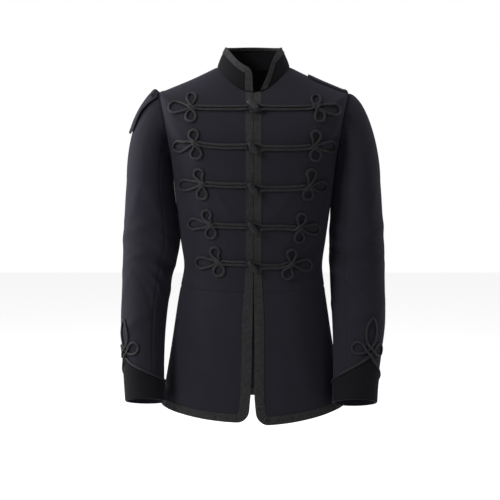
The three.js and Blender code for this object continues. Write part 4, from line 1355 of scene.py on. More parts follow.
class GeometryTree(Tree):
    """A geometry node tree with named inputs, used once for each piece and then made a plain mesh."""

    def __init__(self, name: str, inputs: dict[str, str]) -> None:
        """Makes the tree with its geometry socket and its named inputs.

        Args:
            name: Its name.
            inputs: The kind of each input after the geometry, by name.
        """
        group = bpy.data.node_groups.new(name, "GeometryNodeTree")
        super().__init__(group)
        group.interface.new_socket("Geometry", in_out="INPUT", socket_type="NodeSocketGeometry")
        self.identifiers = {}
        for label, kind in inputs.items():
            socket = group.interface.new_socket(label, in_out="INPUT", socket_type="NodeSocket" + kind)
            self.identifiers[label] = socket.identifier
        group.interface.new_socket("Geometry", in_out="OUTPUT", socket_type="NodeSocketGeometry")
        self.into = self.node("NodeGroupInput").outputs
        self.out = self.node("NodeGroupOutput").inputs

    def finish(self, geometry: Socket, material: Socket) -> None:
        """Ends the tree in Realize Instances and Set Material."""
        real = self.feed("GeometryNodeRealizeInstances", {"Geometry": geometry}).outputs["Geometry"]
        soft = self.feed("GeometryNodeSetShadeSmooth", {"Geometry": real}).outputs["Geometry"]
        dress = self.feed("GeometryNodeSetMaterial", {"Geometry": soft, "Material": material})
        self.put(dress.outputs["Geometry"], self.out["Geometry"])

    def tube(self, path: Socket, radius: Socket, sides: int, capped: bool) -> Socket:
        """A round tube along a curve."""
        circle = self.feed("GeometryNodeCurvePrimitiveCircle", {"Resolution": sides, "Radius": radius})
        inputs = {"Curve": path, "Profile Curve": circle.outputs["Curve"], "Fill Caps": capped}
        return self.feed("GeometryNodeCurveToMesh", inputs).outputs["Mesh"]

    def run(self, name: str, base: bpy.types.Mesh, values: dict[str, object]) -> bpy.types.Mesh:
        """Runs the tree on a mesh.

        Args:
            name: Name of the mesh that comes out.
            base: The mesh that goes in.
            values: A value for each named input.

        Returns:
            The plain mesh.
        """
        holder = add_object(name + "_base", base)
        modifier = holder.modifiers.new(self.tree.name, "NODES")
        modifier.node_group = self.tree
        for label, value in values.items():
            modifier[self.identifiers[label]] = value
        bpy.context.view_layer.update()
        evaluated = holder.evaluated_get(bpy.context.evaluated_depsgraph_get())
        mesh = bpy.data.meshes.new_from_object(evaluated)
        mesh.name = name
        holder.modifiers.remove(modifier)
        bpy.data.objects.remove(holder)
        return mesh


def make_stitch_tree() -> GeometryTree:
    """The tree for a row of hand stitches along a line."""
    floats = dict.fromkeys(("Spacing", "Stitch Length", "Thread", "Slant"), "Float")
    tree = GeometryTree("felling_stitches", {**floats, "Material": "Material"})
    into = tree.into
    line = tree.feed("GeometryNodeMeshToCurve", {"Mesh": into["Geometry"]}).outputs["Curve"]
    even = tree.feed(
        "GeometryNodeResampleCurve", {"Curve": line, "Length": into["Spacing"]}, mode="LENGTH"
    )
    wobble = tree.feed(
        "FunctionNodeRandomValue",
        {2: STITCH_WOBBLE[0], 3: STITCH_WOBBLE[1], "Seed": STITCH_SEED},
        data_type="FLOAT",
    )
    tangent = tree.node("GeometryNodeInputTangent").outputs["Tangent"]
    angle = tree.math("MULTIPLY", into["Slant"], wobble.outputs[1])
    turned = tree.feed("ShaderNodeVectorRotate", {"Vector": tangent, "Angle": angle}, rotation_type="Y_AXIS")
    aligned = tree.feed("FunctionNodeAlignRotationToVector", {"Vector": turned.outputs["Vector"]}, axis="Z")
    stitch = tree.feed(
        "GeometryNodeMeshCylinder",
        {"Vertices": STITCH_SIDES, "Radius": into["Thread"], "Depth": into["Stitch Length"]},
        fill_type="TRIANGLE_FAN",
    )
    placed = tree.feed(
        "GeometryNodeInstanceOnPoints",
        {
            "Points": even.outputs["Curve"],
            "Instance": stitch.outputs["Mesh"],
            "Rotation": aligned.outputs["Rotation"],
        },
    )
    tree.finish(placed.outputs["Instances"], into["Material"])
    return tree


def make_barrel_tree() -> GeometryTree:
    """The tree for a toggle: strands laid slanting along a barrel, with a ring bound round each neck."""
    floats = dict.fromkeys(("Length", "Radius", "Strand", "Twist", "Ring"), "Float")
    tree = GeometryTree("corded_barrel", {**floats, "Strands": "Int", "Material": "Material"})
    into = tree.into
    half = tree.math("MULTIPLY", into["Length"], 0.5)
    ends = {"Start": tree.xyz(z=tree.math("MULTIPLY", half, -1.0)), "End": tree.xyz(z=half)}
    line = tree.feed("GeometryNodeCurvePrimitiveLine", ends).outputs["Curve"]
    even = tree.feed("GeometryNodeResampleCurve", {"Curve": line, "Count": STRAND_STEPS}, mode="COUNT")
    position = tree.node("GeometryNodeInputPosition").outputs["Position"]
    height = tree.feed("ShaderNodeSeparateXYZ", {0: position}).outputs["Z"]
    share = tree.math("DIVIDE", height, half)
    fourth = tree.math("POWER", tree.math("ABSOLUTE", share), 4.0)
    belly = tree.math("SUBTRACT", 1.0, tree.math("MULTIPLY", fourth, BARREL_TAPER))
    around = tree.math("MULTIPLY", share, into["Twist"])
    reach = tree.math("MULTIPLY", belly, into["Radius"])
    bent = tree.xyz(
        tree.math("MULTIPLY", reach, tree.math("COSINE", around)),
        tree.math("MULTIPLY", reach, tree.math("SINE", around)),
        height,
    )
    moved = tree.feed("GeometryNodeSetPosition", {"Geometry": even.outputs["Curve"], "Position": bent})
    strand = tree.tube(moved.outputs["Geometry"], into["Strand"], STRAND_SIDES, True)
    points = tree.feed("GeometryNodePoints", {"Count": into["Strands"]})
    step = tree.math("DIVIDE", 2 * math.pi, into["Strands"])
    turn = tree.math("MULTIPLY", tree.node("GeometryNodeInputIndex").outputs[0], step)
    strands = tree.feed(
        "GeometryNodeInstanceOnPoints",
        {"Points": points.outputs[0], "Instance": strand, "Rotation": tree.xyz(z=turn)},
    )
    round_neck = tree.math("MULTIPLY", into["Radius"], NECK_RADIUS)
    hoop = tree.feed("GeometryNodeCurvePrimitiveCircle", {"Resolution": NECK_STEPS, "Radius": round_neck})
    ring = tree.tube(hoop.outputs["Curve"], into["Ring"], RING_SIDES, False)
    low, high = (tree.xyz(z=tree.math("MULTIPLY", half, way * NECK_HEIGHT)) for way in (-1, 1))
    necks = tree.feed(
        "GeometryNodeMeshLine", {"Count": 2, "Start Location": low, "Offset": high}, mode="END_POINTS"
    )
    rings = tree.feed(
        "GeometryNodeInstanceOnPoints", {"Points": necks.outputs["Mesh"], "Instance": ring}
    )
    together = tree.node("GeometryNodeJoinGeometry")
    for part in (rings.outputs["Instances"], strands.outputs["Instances"], into["Geometry"]):
        tree.put(part, together.inputs["Geometry"])
    tree.finish(together.outputs["Geometry"], into["Material"])
    return tree


def line_mesh(name: str, points: Array) -> bpy.types.Mesh:
    """A mesh of one open line through points in millimetres."""
    mesh = bpy.data.meshes.new(name)
    edges = [(k, k + 1) for k in range(len(points) - 1)]
    mesh.from_pydata([tuple(p) for p in points * MM], edges, [])
    return mesh


# The pieces


@dataclass
class BodyPanels:
    """The cloth panels of the body: two chest fronts, the back and three skirts."""

    room: Workroom
    body: BodyForm
    corner_radius: float = 24.0
    cuts: dict[str, Cut] = field(
        default_factory=lambda: {
            "forepart": Cut(0.330, 0.600, 0.130),
            "back": Cut(0.560, 0.600, 0.240),
            "skirt_front": Cut(0.300, 0.300, 0.075),
            "skirt_back": Cut(0.500, 0.290, 0.130),
        }
    )

    def side_edge(self, side: int, run: Array, front: bool) -> Array:
        """The turn of a panel's side edge: the side seam, the armhole or the shoulder seam."""
        away = 1.0 if front else -1.0
        on_armhole = (run > ARMPIT_RUN) & (run < SHOULDER_RUN)
        turn = np.where(on_armhole, armhole_turn(round_at(run) * away), SIDE_TURN)
        ahead, behind = self.body.point(side, turn + 0.5, run), self.body.point(side, turn - 0.5, run)
        return turn - away * HALF_SEAM / np.linalg.norm(ahead - behind, axis=-1)

    def upper_runs(self) -> Array:
        """The rows of the chest fronts and the back."""
        low = WAIST_RUN + HALF_SEAM
        return np.concatenate(
            [
                low + np.array([0.0, 0.9, 2.2]),
                np.linspace(low + 4, ARMPIT_RUN, 92)[:-1],
                armhole_run(np.array([0.0, 5, 10, 15, 20])),
                np.linspace(armhole_run(np.array(24.0)), armhole_run(np.array(156.0)), 35),
                armhole_run(np.array([160.0, 165, 170, 175, 180])),
                np.linspace(SHOULDER_RUN, NECK_RUN - 4, 45)[1:],
                NECK_RUN - CLOSE_ROWS,
            ]
        )

    def skirt_runs(self) -> Array:
        """The rows of the skirts, close together round the corners and under the waist seam."""
        high = WAIST_RUN - HALF_SEAM
        corner = self.corner_radius * (1 - np.cos(np.radians(np.arange(0, 90, 7.5))))
        return np.concatenate(
            [corner, np.linspace(self.corner_radius, high - 4, 76), high - CLOSE_ROWS]
        )

    def skirt_edge(self, side: int, run: Array) -> Array:
        """Distance of the skirt's front edge from the centre plane, rounded off at the hem."""
        inside = np.maximum(self.corner_radius - run, 0.0)
        corner = self.corner_radius - np.sqrt(self.corner_radius**2 - inside**2)
        return self.body.cloth_edge(side, run) + corner

    def cloth(self, places: Places, sewn: Sequence[Edge]) -> Shape:
        """A wall of cloth on some places, sunk along its sewn edges."""
        return wall(places.lifted(seam_dip(places.p, sewn)), places.lifted(-CLOTH))

    def both_halves(self, runs: Array, columns: int) -> Places:
        """A panel cut on the fold: the left half from the side seam, then the right half."""
        halves = []
        for side in (Side.LEFT, Side.RIGHT):
            start = self.side_edge(side.value, runs, False)
            turns = self.body.spread(side.value, start, np.full_like(runs, 90.0), runs, Steps(columns))
            places = self.body.place(side.value, turns, runs[:, None])
            halves.append(places if side is Side.LEFT else places.mirrored())
        return halves[0].joined(halves[1])

    def dress(self, shape: Shape, node: str, cut: Cut) -> None:
        """Dresses a panel in wool."""
        self.room.make_sheet(f"cloth_{node}", shape, self.room.finishes.wool, node, cut, "hung")

    def build(self) -> None:
        """Makes and dresses every panel of the body."""
        upper, lower = self.upper_runs(), self.skirt_runs()
        for side in Side:
            s = side.value
            edge = self.body.turn_at(self.body.cloth_edge(s, upper), upper)
            turns = self.body.spread(s, edge, self.side_edge(s, upper, True), upper, Steps(86))
            sewn = (Edge.FIRST_ROW, Edge.LAST_ROW, Edge.LAST_COLUMN)
            chest = self.cloth(self.body.place(s, turns, upper[:, None]), sewn)
            self.dress(mirror(chest, side), f"forepart_{side.word}", self.cuts["forepart"])
            edge = self.body.turn_at(self.skirt_edge(s, lower), lower)
            turns = self.body.spread(s, edge, self.side_edge(s, lower, True), lower, Steps(76))
            skirt = self.cloth(self.body.place(s, turns, lower[:, None]), (Edge.LAST_ROW, Edge.LAST_COLUMN))
            self.dress(mirror(skirt, side), f"skirt_front_{side.word}", self.cuts["skirt_front"])
        both_sides = (Edge.FIRST_COLUMN, Edge.LAST_COLUMN)
        back = self.cloth(self.both_halves(upper, 66), (Edge.FIRST_ROW, Edge.LAST_ROW, *both_sides))
        self.dress(back, "back", self.cuts["back"])
        under_waist = WAIST_RUN - HALF_SEAM - CLOSE_ROWS
        hem_runs = np.concatenate([np.linspace(0, WAIST_RUN - 4, 84), under_waist])
        skirt = self.cloth(self.both_halves(hem_runs, 60), (Edge.LAST_ROW, *both_sides))
        self.dress(skirt, "skirt_back", self.cuts["skirt_back"])


@dataclass
class Sleeve:
    """One sleeve of two pieces, with its velvet cuff and the cord sewn over it."""

    room: Workroom
    body: BodyForm
    side: Side
    front_seam: float = 60.0
    back_seam: float = 300.0
    trim: float = 0.13
    cuff_low: float = 37.0
    cuff_high: float = 80.0
    cuff_reach: float = 165.0
    cuff_points: dict[int, float] = field(default_factory=lambda: {-1: 142.0, 1: 116.0})
    mm_per_degree: float = 0.83
    cord_width: float = 5.6
    cord_height: float = 4.2
    crossing_rise: float = 3.3
    top_cut: Cut = Cut(0.300, 0.640, 0.165)
    under_cut: Cut = Cut(0.200, 0.560, 0.085)
    cuff_cut: Cut = Cut(0.320, 0.095, 0.018)

    def __post_init__(self) -> None:
        """Takes the sleeve's own form and the point of its cuff."""
        self.form = SleeveForm(self.side, self.body)
        self.point = self.cuff_points[self.side.value]
        self.full = CUFF_DROP - CAP_DROP

    def rows(self) -> Array:
        """Distances below the underarm ring, from the armhole to the hem."""
        return np.concatenate(
            [
                -CAP_RUN + np.array([0.0, 0.7, 1.7, 3.2, 5.2]),
                np.linspace(-CAP_RUN + 8, 0, 42)[:-1],
                np.linspace(0, self.full, 146),
            ]
        )

    def rounds(self, start: float, stop: float, count: int) -> Array:
        """Places round the sleeve between two seams, close together beside them."""
        close = np.array([self.trim, 0.8, 2.0, 3.6])
        even = np.linspace(start + 5.6, stop - 5.6, count)
        return np.concatenate([start + close, even, stop - close[::-1]])

    def cuff_height(self, round_: Array) -> Array:
        """Height of the velvet, rising in a hollow curve to its point."""
        apart = np.abs((np.asarray(round_, float) - self.point + 540) % 360 - 180)
        near = np.maximum(1 - apart / self.cuff_reach, 0)
        return mix(self.cuff_low, self.cuff_high, near**2.4)

    def build_cloth(self) -> None:
        """Makes the top and the under sleeve."""
        rows = self.rows()
        pieces = (
            ("top", self.front_seam, self.back_seam, 92, self.top_cut),
            ("under", self.back_seam - 360, self.front_seam, 44, self.under_cut),
        )
        for word, start, stop, count, cut in pieces:
            places = self.form.place(self.rounds(start, stop, count)[None, :], rows[:, None])
            dip = seam_dip(places.p, (Edge.FIRST_ROW, Edge.FIRST_COLUMN, Edge.LAST_COLUMN))
            shape = mirror(wall(places.lifted(dip), places.lifted(-CLOTH)), self.side)
            node = f"sleeve_{word}_{self.side.word}"
            self.room.make_sheet(f"cloth_{node}", shape, self.room.finishes.wool, node, cut, "hung")

    def build_cuff(self) -> None:
        """Makes the velvet cuff."""
        rounds = np.arange(0, 360, 2.5)
        shares = np.concatenate([[0, 0.012, 0.035], np.linspace(0.07, 0.93, 22), [0.965, 0.988, 1]])
        below = self.full - shares[None, :] * self.cuff_height(rounds)[:, None]
        places = self.form.place(rounds[:, None], below)
        edge = np.minimum(shares, 1 - shares)
        pile = SEAM + VELVET * (1 - 0.55 * np.exp(-((edge / 0.02) ** 2)))
        outer = places.lifted(np.broadcast_to(pile, places.p.shape[:2]))
        shape = mirror(wall(outer, places.lifted(SEAM), closed=True), self.side)
        node = f"cuff_{self.side.word}"
        velvet = self.room.finishes.velvet
        self.room.make_sheet(f"velvet_{node}", shape, velvet, node, self.cuff_cut, "stretched")

    def build_cord(self) -> None:
        """Makes the cord over the cuff: up one edge of the velvet, through three loops and down the other."""
        rise, k = self.crossing_rise, self.cuff_high
        steps = np.array([-172, -150, -125, -100, -76, -54, -36, -22], dtype=float)
        heights = self.cuff_height(self.point + steps) + 0.5 * self.cord_width + 1.2
        start = [(a * self.mm_per_degree, h, 0.0) for a, h in zip(steps, heights)]
        half_knot = [
            (-7, 1, 0), (-2.5, 5.5, 0), (2.8, 11, 0), (8, 17, 0), (16, 31, 0), (27, 35, 0), (36, 26, 0),
            (31, 13.5, 0), (18, 11, 0), (6.5, 16.5, rise), (-0.5, 23, rise), (-7.5, 34, 0), (-11, 54, 0),
            (-6.5, 76, 0), (0, 86, 0),
        ]
        other_half = [
            (6.5, 76, 0), (11, 54, 0), (7.5, 34, 0), (0.5, 23, 0), (-6.5, 16.5, 0), (-18, 11, 0),
            (-31, 13.5, 0), (-36, 26, 0), (-27, 35, 0), (-16, 31, 0), (-8, 17, rise * 0.6),
            (-2.8, 11, rise), (2.5, 5.5, rise), (7, 1, rise * 0.5),
        ]
        knot = [(a, k + h, z) for a, h, z in half_knot + other_half]
        finish = [(-a, h, z) for a, h, z in reversed(start)]
        path = smooth_path(np.array(start + knot + finish), False, 1.7)
        places = self.form.place(self.point + path[:, 0] / self.mm_per_degree, self.full - path[:, 1])
        laid = Places(places.lifted(np.maximum(path[:, 2], 0) + 0.1), places.n)
        shape = mirror(laid_cord(laid, self.cord_width, self.cord_height, False), self.side)
        word, cord = self.side.word, self.room.finishes.cord
        self.room.make(f"corded_cuff_knot_{word}", shape, cord, f"cuff_cord_{word}", SHARP_CORD)

    def build(self) -> None:
        """Makes the whole sleeve."""
        self.build_cloth()
        self.build_cuff()
        self.build_cord()


@dataclass
class BoundEdges:
    """The flat braid folded over the front edges, the rounded corners and the hem."""

    room: Workroom
    body: BodyForm
    panels: BodyPanels
    front_top: float = 15.5
    front_hem: float = 20.0
    hem: float = 16.0
    profile: BraidProfile = BraidProfile()
    pucker_height: float = 2.2
    puckers_start: tuple[float, float] = (430.0, 520.0)
    puckers_stop: tuple[float, float] = (760.0, 840.0)
    felling: StitchRun = StitchRun(0.0042, 0.0021, 0.00028, 0.5)

    def width(self, run: Array) -> Array:
        """Width of the braid up the front edges."""
        return mix(self.front_hem, self.front_top, smooth(run, WAIST_RUN - 60, WAIST_RUN + 60))

    def front_path(self, side: int) -> tuple[Places, Places]:
        """Places along a front edge and the hem, and at the braid's width from them."""
        radius = self.panels.corner_radius
        runs = np.linspace(NECK_RUN - 3, radius + 1.5, 250)
        edge_x = self.body.cloth_edge(side, runs)
        edge = [(self.body.turn_at(edge_x, runs), runs)]
        inset = [(self.body.turn_at(edge_x + self.width(runs), runs), runs)]
        angle = np.radians(np.arange(90, -0.1, -7.5))
        run = radius * (1 - np.cos(angle))
        centre = self.body.cloth_edge(side, run) + radius
        inner_run = radius - (radius - self.hem) * np.cos(angle)
        inner_x = centre - (radius - mix(self.hem, self.front_hem, np.sin(angle))) * np.sin(angle)
        edge.append((self.body.turn_at(centre - radius * np.sin(angle), run), run))
        inset.append((self.body.turn_at(inner_x, inner_run), inner_run))
        zero = np.array([0.0])
        end = self.panels.side_edge(side, zero, True)[0]
        start = edge[-1][0][-1]
        inner_start = inset[-1][0][-1]
        inner_end = self.panels.side_edge(side, np.array([self.hem]), True)[0]
        share = np.linspace(0, 1, 74)[1:]
        edge.append((mix(start, end, share), np.zeros_like(share)))
        inset.append((mix(inner_start, inner_end, share), np.full_like(share, self.hem)))
        found = []
        for parts in (edge, inset):
            turn = np.concatenate([part[0] for part in parts])
            run = np.concatenate([part[1] for part in parts])
            found.append(self.body.place(side, turn, run))
        return found[0], found[1]

    def ripple(self, edge: Places, side: int) -> Array:
        """How unevenly the braid lies along its length, more so low on the left front."""
        s = distances(edge.p)
        small = 0.26 * np.sin(s / 4.1 + side) + 0.18 * np.sin(s / 2.6 + 2.0) + 0.16 * np.sin(s / 9.7)
        on_skirt = smooth(s, *self.puckers_start) * (1 - smooth(s, *self.puckers_stop))
        puckers = self.pucker_height * np.maximum(np.sin(s / 1.9 + np.sin(s / 13.0)), 0) * on_skirt
        return small + (puckers if side > 0 else 0.25 * puckers)

    def stitches(self, name: str, line: Array, side: Side | None) -> None:
        """Fells a line of the braid down with small stitches."""
        self.room.sew(name, line, side, self.felling, self.room.finishes.cord)

    def build(self) -> None:
        """Makes the braids of both fronts and of the back hem."""
        for side in Side:
            edge, inset = self.front_path(side.value)
            shape = mirror(bound_braid(edge, inset, self.profile, self.ripple(edge, side.value)), side)
            word, braid = side.word, self.room.finishes.braid
            self.room.make(f"braid_front_{word}", shape, braid, f"front_braid_{word}", SHARP_BRAID)
            away = unit(inset.p - edge.p)
            self.stitches(f"felling_front_{side.word}", inset.p + inset.n * 0.25 + away * 0.5, side)
        lower, upper = np.array([0.0]), np.array([self.hem])
        halves = []
        for side in Side:
            found = []
            for run in (lower, upper):
                start = self.panels.side_edge(side.value, run, False)[0]
                turns = np.linspace(start, 90.0, 76)
                found.append(self.body.place(side.value, turns, np.full_like(turns, run[0])))
            halves.append(found if side is Side.LEFT else [places.mirrored() for places in found])
        right, left = halves
        edge, inset = (first.joined(last) for first, last in zip(left, right))
        shape = bound_braid(edge, inset, self.profile, self.ripple(edge, -1))
        self.room.make("braid_hem_back", shape, self.room.finishes.braid, "hem_braid_back", SHARP_BRAID)
        away = unit(inset.p - edge.p)
        self.stitches("felling_hem_back", inset.p + inset.n * 0.25 + away * 0.5, None)


@dataclass
class StandCollar:
    """The velvet stand collar with its braid."""

    room: Workroom
    body: BodyForm
    braid_width: float = 13.5
    foot_dip: float = 0.7
    foot_reach: float = 1.8
    foot_inside: float = 2.4
    profile: BraidProfile = BraidProfile(ribs=5, inner_share=0.4)
    cut: Cut = Cut(0.440, 0.055, 0.020)

    def __post_init__(self) -> None:
        """Takes the collar's form."""
        self.form = CollarForm(self.body)

    def velvet(self) -> Shape:
        """The velvet collar itself."""
        form = self.form
        insets = np.array([0, 0.5, 1.2, 2.2, 3.5, 5, 7, 9, 11, self.braid_width])
        inside = np.maximum(form.corner - insets, 0)
        drops = (form.corner - np.sqrt(form.corner**2 - inside**2)) / form.height
        shares = np.concatenate([[-0.03, -0.005, 0.03], np.linspace(0.08, 0.96, 15), [1.0]])
        ends = [shares * (1 - drop) for drop in drops]
        right = [form.end_turn(-1, t, inset) for t, inset in zip(ends, insets)]
        left = [form.end_turn(1, t, inset) for t, inset in zip(ends, insets)][::-1]
        inner = [form.end_turn(side, shares, self.braid_width) for side in (-1, 1)]
        between = np.linspace(0, 1, 140)[1:-1]
        grid = np.array([*right, *(mix(*inner, share) for share in between), *left])
        up = np.array([*ends, *(shares for _ in between), *ends[::-1]])
        places = form.place(grid, up)
        dip = -self.foot_dip * np.exp(-((up * form.height / self.foot_reach) ** 2))
        turned_in = up.copy()
        turned_in[:, 0] -= self.foot_inside / form.height
        return wall(places.lifted(dip), form.place(grid, turned_in).lifted(-CLOTH))

    def end_path(self, side: int) -> tuple[list, list]:
        """Turns and heights along one front edge and its corner, and at the braid's width from them."""
        form, wide = self.form, self.braid_width
        depths = np.linspace(form.height - 0.6, form.corner, 14)
        edge = [(0.0, depth) for depth in depths]
        inset = [(wide, depth) for depth in depths]
        for angle in np.radians(np.arange(9, 90.1, 9)):
            edge.append((form.corner * (1 - math.cos(angle)), form.corner * (1 - math.sin(angle))))
            inset.append((wide, wide))
        as_turns = []
        for path in (edge, inset):
            t = np.array([1 - depth / form.height for _, depth in path])
            s = np.array([inset_ for inset_, _ in path])
            as_turns.append((form.end_turn(side, t, s), t))
        return as_turns

    def braid(self) -> tuple[Shape, Array]:
        """The braid bound over the collar's edges, and the line along which it is felled."""
        form, wide = self.form, self.braid_width
        right, left = self.end_path(-1), self.end_path(1)
        share = np.linspace(0, 1, 130)[1:-1]
        found = []
        for k, t in ((0, 1.0), (1, 1 - wide / form.height)):
            start = form.end_turn(-1, np.array([t]), wide)[0]
            end = form.end_turn(1, np.array([t]), wide)[0]
            turns = np.concatenate([right[k][0], mix(start, end, share), left[k][0][::-1]])
            heights = np.concatenate([right[k][1], np.full_like(share, t), left[k][1][::-1]])
            found.append(form.place(turns, heights))
        edge, inset = found
        s = distances(edge.p)
        ripple = 0.22 * np.sin(s / 4.4) + 0.18 * np.sin(s / 2.7 + 1.0)
        away = unit(inset.p - edge.p)
        return bound_braid(edge, inset, self.profile, ripple), inset.p + inset.n * 0.3 + away * 0.5

    def build(self, edges: BoundEdges) -> None:
        """Makes and dresses the collar."""
        velvet = self.room.finishes.velvet
        self.room.make_sheet("velvet_collar", self.velvet(), velvet, "collar", self.cut, "stretched")
        shape, line = self.braid()
        self.room.make("braid_collar", shape, self.room.finishes.braid, "collar_braid", SHARP_BRAID)
        edges.stitches("felling_collar", line, None)


FROG_COLUMNS = "row line knot_x knot_z top_x top_z low_x low_z tip_x tip_z"
FROGS = {
    Side.RIGHT: (
        (1, -93, 133, -91.5, 132, -69.5, 132, -110, 182, -90),
        (2, -172.5, 122, -166, 125.5, -147.5, 119, -188, 172.5, -172),
        (3, -253.5, 106, -251, 114.5, -229, 108, -273, 160, -254),
        (4, -339.5, 89, -338, 98.5, -316, 89, -356, 141, -337),
        (5, -419.5, 72.5, -419, 81, -395, 72, -436.5, 123.5, -420.5),
    ),
    Side.LEFT: (
        (1, -93, 132, -91.5, 132, -73.5, 139, -110.5, 185.5, -95),
        (2, -176, 125, -173, 130, -149.5, 127.5, -192, 177, -172),
        (3, -260.5, 115.5, -257.5, 120, -230.5, 113.5, -274, 159, -257.5),
        (4, -342.5, 95.5, -345, 100.5, -323.5, 96, -365.5, 143, -348.5),
        (5, -426.5, 80, -422, 80.5, -400.5, 71.5, -443, 125, -425.5),
    ),
}


@dataclass
class Frogging:
    """Five rows of doubled cord with three-looped knots, each closed by a corded toggle."""

    room: Workroom
    body: BodyForm
    width: float = 6.0
    height: float = 4.6
    pitch: float = 6.4
    rise: float = 3.4
    loop_top: float = 9.6
    loop_low: float = 10.6
    loop_outer: float = 11.5
    frog_end: float = 13.0
    eye_reach: float = 7.5
    eye_spread: float = 8.4
    braid_reach: float = 20.0
    toggle_length: float = 34.0
    toggle_radius: float = 6.0
    toggle_slant: float = 130.0
    row_one: float = 1.25
    row_one_length: float = 1.06
    toggle_sunk: float = 1.4
    strands: int = 7
    strand_share: float = 0.42
    twist: float = 1.15

    def lift_at(self, x: Array) -> Array:
        """Height of the cord's underside: over the braid near the centre line, on the cloth elsewhere."""
        share = smooth(np.abs(x), self.braid_reach + 5, self.braid_reach + 14)
        return mix(2 * SEAM + BRAID - 0.1, 0.1, share)

    def loop(self, x: float, z: float, size: float, upwards: float) -> list[tuple[float, float, float]]:
        """Control points of a round loop above or below its knot, from the outside in."""
        u = upwards
        return [
            (x + size * 0.72, z - u * size * 0.82, 0), (x + size, z, 0),
            (x + size * 0.7, z + u * size * 0.72, 0), (x, z + u * size, 0),
            (x - size * 0.7, z + u * size * 0.72, 0), (x - size, z, 0),
            (x - size * 0.72, z - u * size * 0.82, 0),
        ]

    def controls(self, side: Side, frog: dict[str, float]) -> Array:
        """Control points of one side's cord: out, through three loops, and back."""
        half, rise = self.pitch / 2, self.rise
        line, kx, kz = frog["line"], frog["knot_x"], frog["knot_z"]
        bulb = frog["tip_x"] - self.width / 2 - self.loop_outer
        tz, outer = frog["tip_z"], self.loop_outer
        start = 28.0 if side is Side.LEFT else self.frog_end
        middle = mix(start, kx, 0.5)
        near = mix(line, kz, 0.6)
        upper = [(start, line + half, 0), (middle, line + half, 0), (kx - 17, near + half, 0)]
        lower = [(kx - 17, near - half, 0), (middle, line - half, 0), (start, line - half, 0)]
        low = self.loop(frog["low_x"], frog["low_z"], self.loop_low, -1)
        top = self.loop(frog["top_x"], frog["top_z"], self.loop_top, 1)[::-1]
        low[-1] = (*low[-1][:2], rise * 0.3)
        top[-1] = (*top[-1][:2], rise * 0.3)
        knot = [
            (kx - 7.5, kz + 3.1, 0), (kx - 3.4, kz - 0.2, 0), (kx + 0.2, kz - 3.6, 0), *low,
            (kx - 0.2, kz - 3.6, rise), (kx + 3.4, kz, rise), (kx + 7.5, kz + 3.6, rise * 0.4),
            (bulb - 9, tz + outer * 0.86, 0), (bulb, tz + outer, 0),
            (bulb + outer * 0.75, tz + outer * 0.66, 0), (bulb + outer, tz, 0),
            (bulb + outer * 0.75, tz - outer * 0.66, 0), (bulb, tz - outer, 0),
            (bulb - 9, tz - outer * 0.86, 0), (kx + 7.5, kz - 3.6, 0), (kx + 3.4, kz, 0),
            (kx - 0.2, kz + 3.6, 0), *top,
            (kx + 0.2, kz + 3.6, rise), (kx - 3.4, kz + 0.2, rise), (kx - 7.5, kz - 3.1, rise * 0.8),
        ]
        eye = []
        if side is Side.LEFT:
            reach, spread = self.eye_reach, self.eye_spread
            eye = [
                (19, line - half - 0.6, 0), (10, line - spread * 0.86, 0), (1, line - spread, 0),
                (-reach * 0.8, line - spread * 0.6, 0), (-reach, line, 0),
                (-reach * 0.8, line + spread * 0.6, 0),
                (1, line + spread, 0), (10, line + spread * 0.86, 0), (19, line + half + 0.6, 0),
            ]
        return np.array(upper + knot + lower + eye, dtype=float)

    def build_cords(self) -> None:
        """Makes the ten corded frogs."""
        for side, rows in FROGS.items():
            for values in rows:
                frog = dict(zip(FROG_COLUMNS.split(), values))
                closed = side is Side.LEFT
                path = smooth_path(self.controls(side, frog), closed, 1.7)
                places = self.body.in_front(side.value, path[:, 0], path[:, 1])
                lift = self.lift_at(path[:, 0]) + np.maximum(path[:, 2], 0)
                laid = Places(places.lifted(lift), places.n)
                shape = mirror(laid_cord(laid, self.width, self.height, closed), side)
                node = f"frog_{side.word}_{frog['row']}"
                self.room.make(f"corded_{node}", shape, self.room.finishes.cord, node, SHARP_CORD)

    def barrel_core(self, length: float, radius: float) -> bpy.types.Mesh:
        """The barrel inside the strands."""
        angles = np.linspace(0, 2 * math.pi, 16, endpoint=False)
        shares = np.linspace(-0.96, 0.96, 15)[:, None]
        reach = radius * (1 - BARREL_TAPER * shares**4)
        heights = shares * length / 2
        x, y, z = np.broadcast_arrays(reach * np.cos(angles), reach * np.sin(angles), heights)
        return sweep(np.stack([x, y, z], axis=-1), heights[:, 0], angles * radius).mesh("barrel_core")

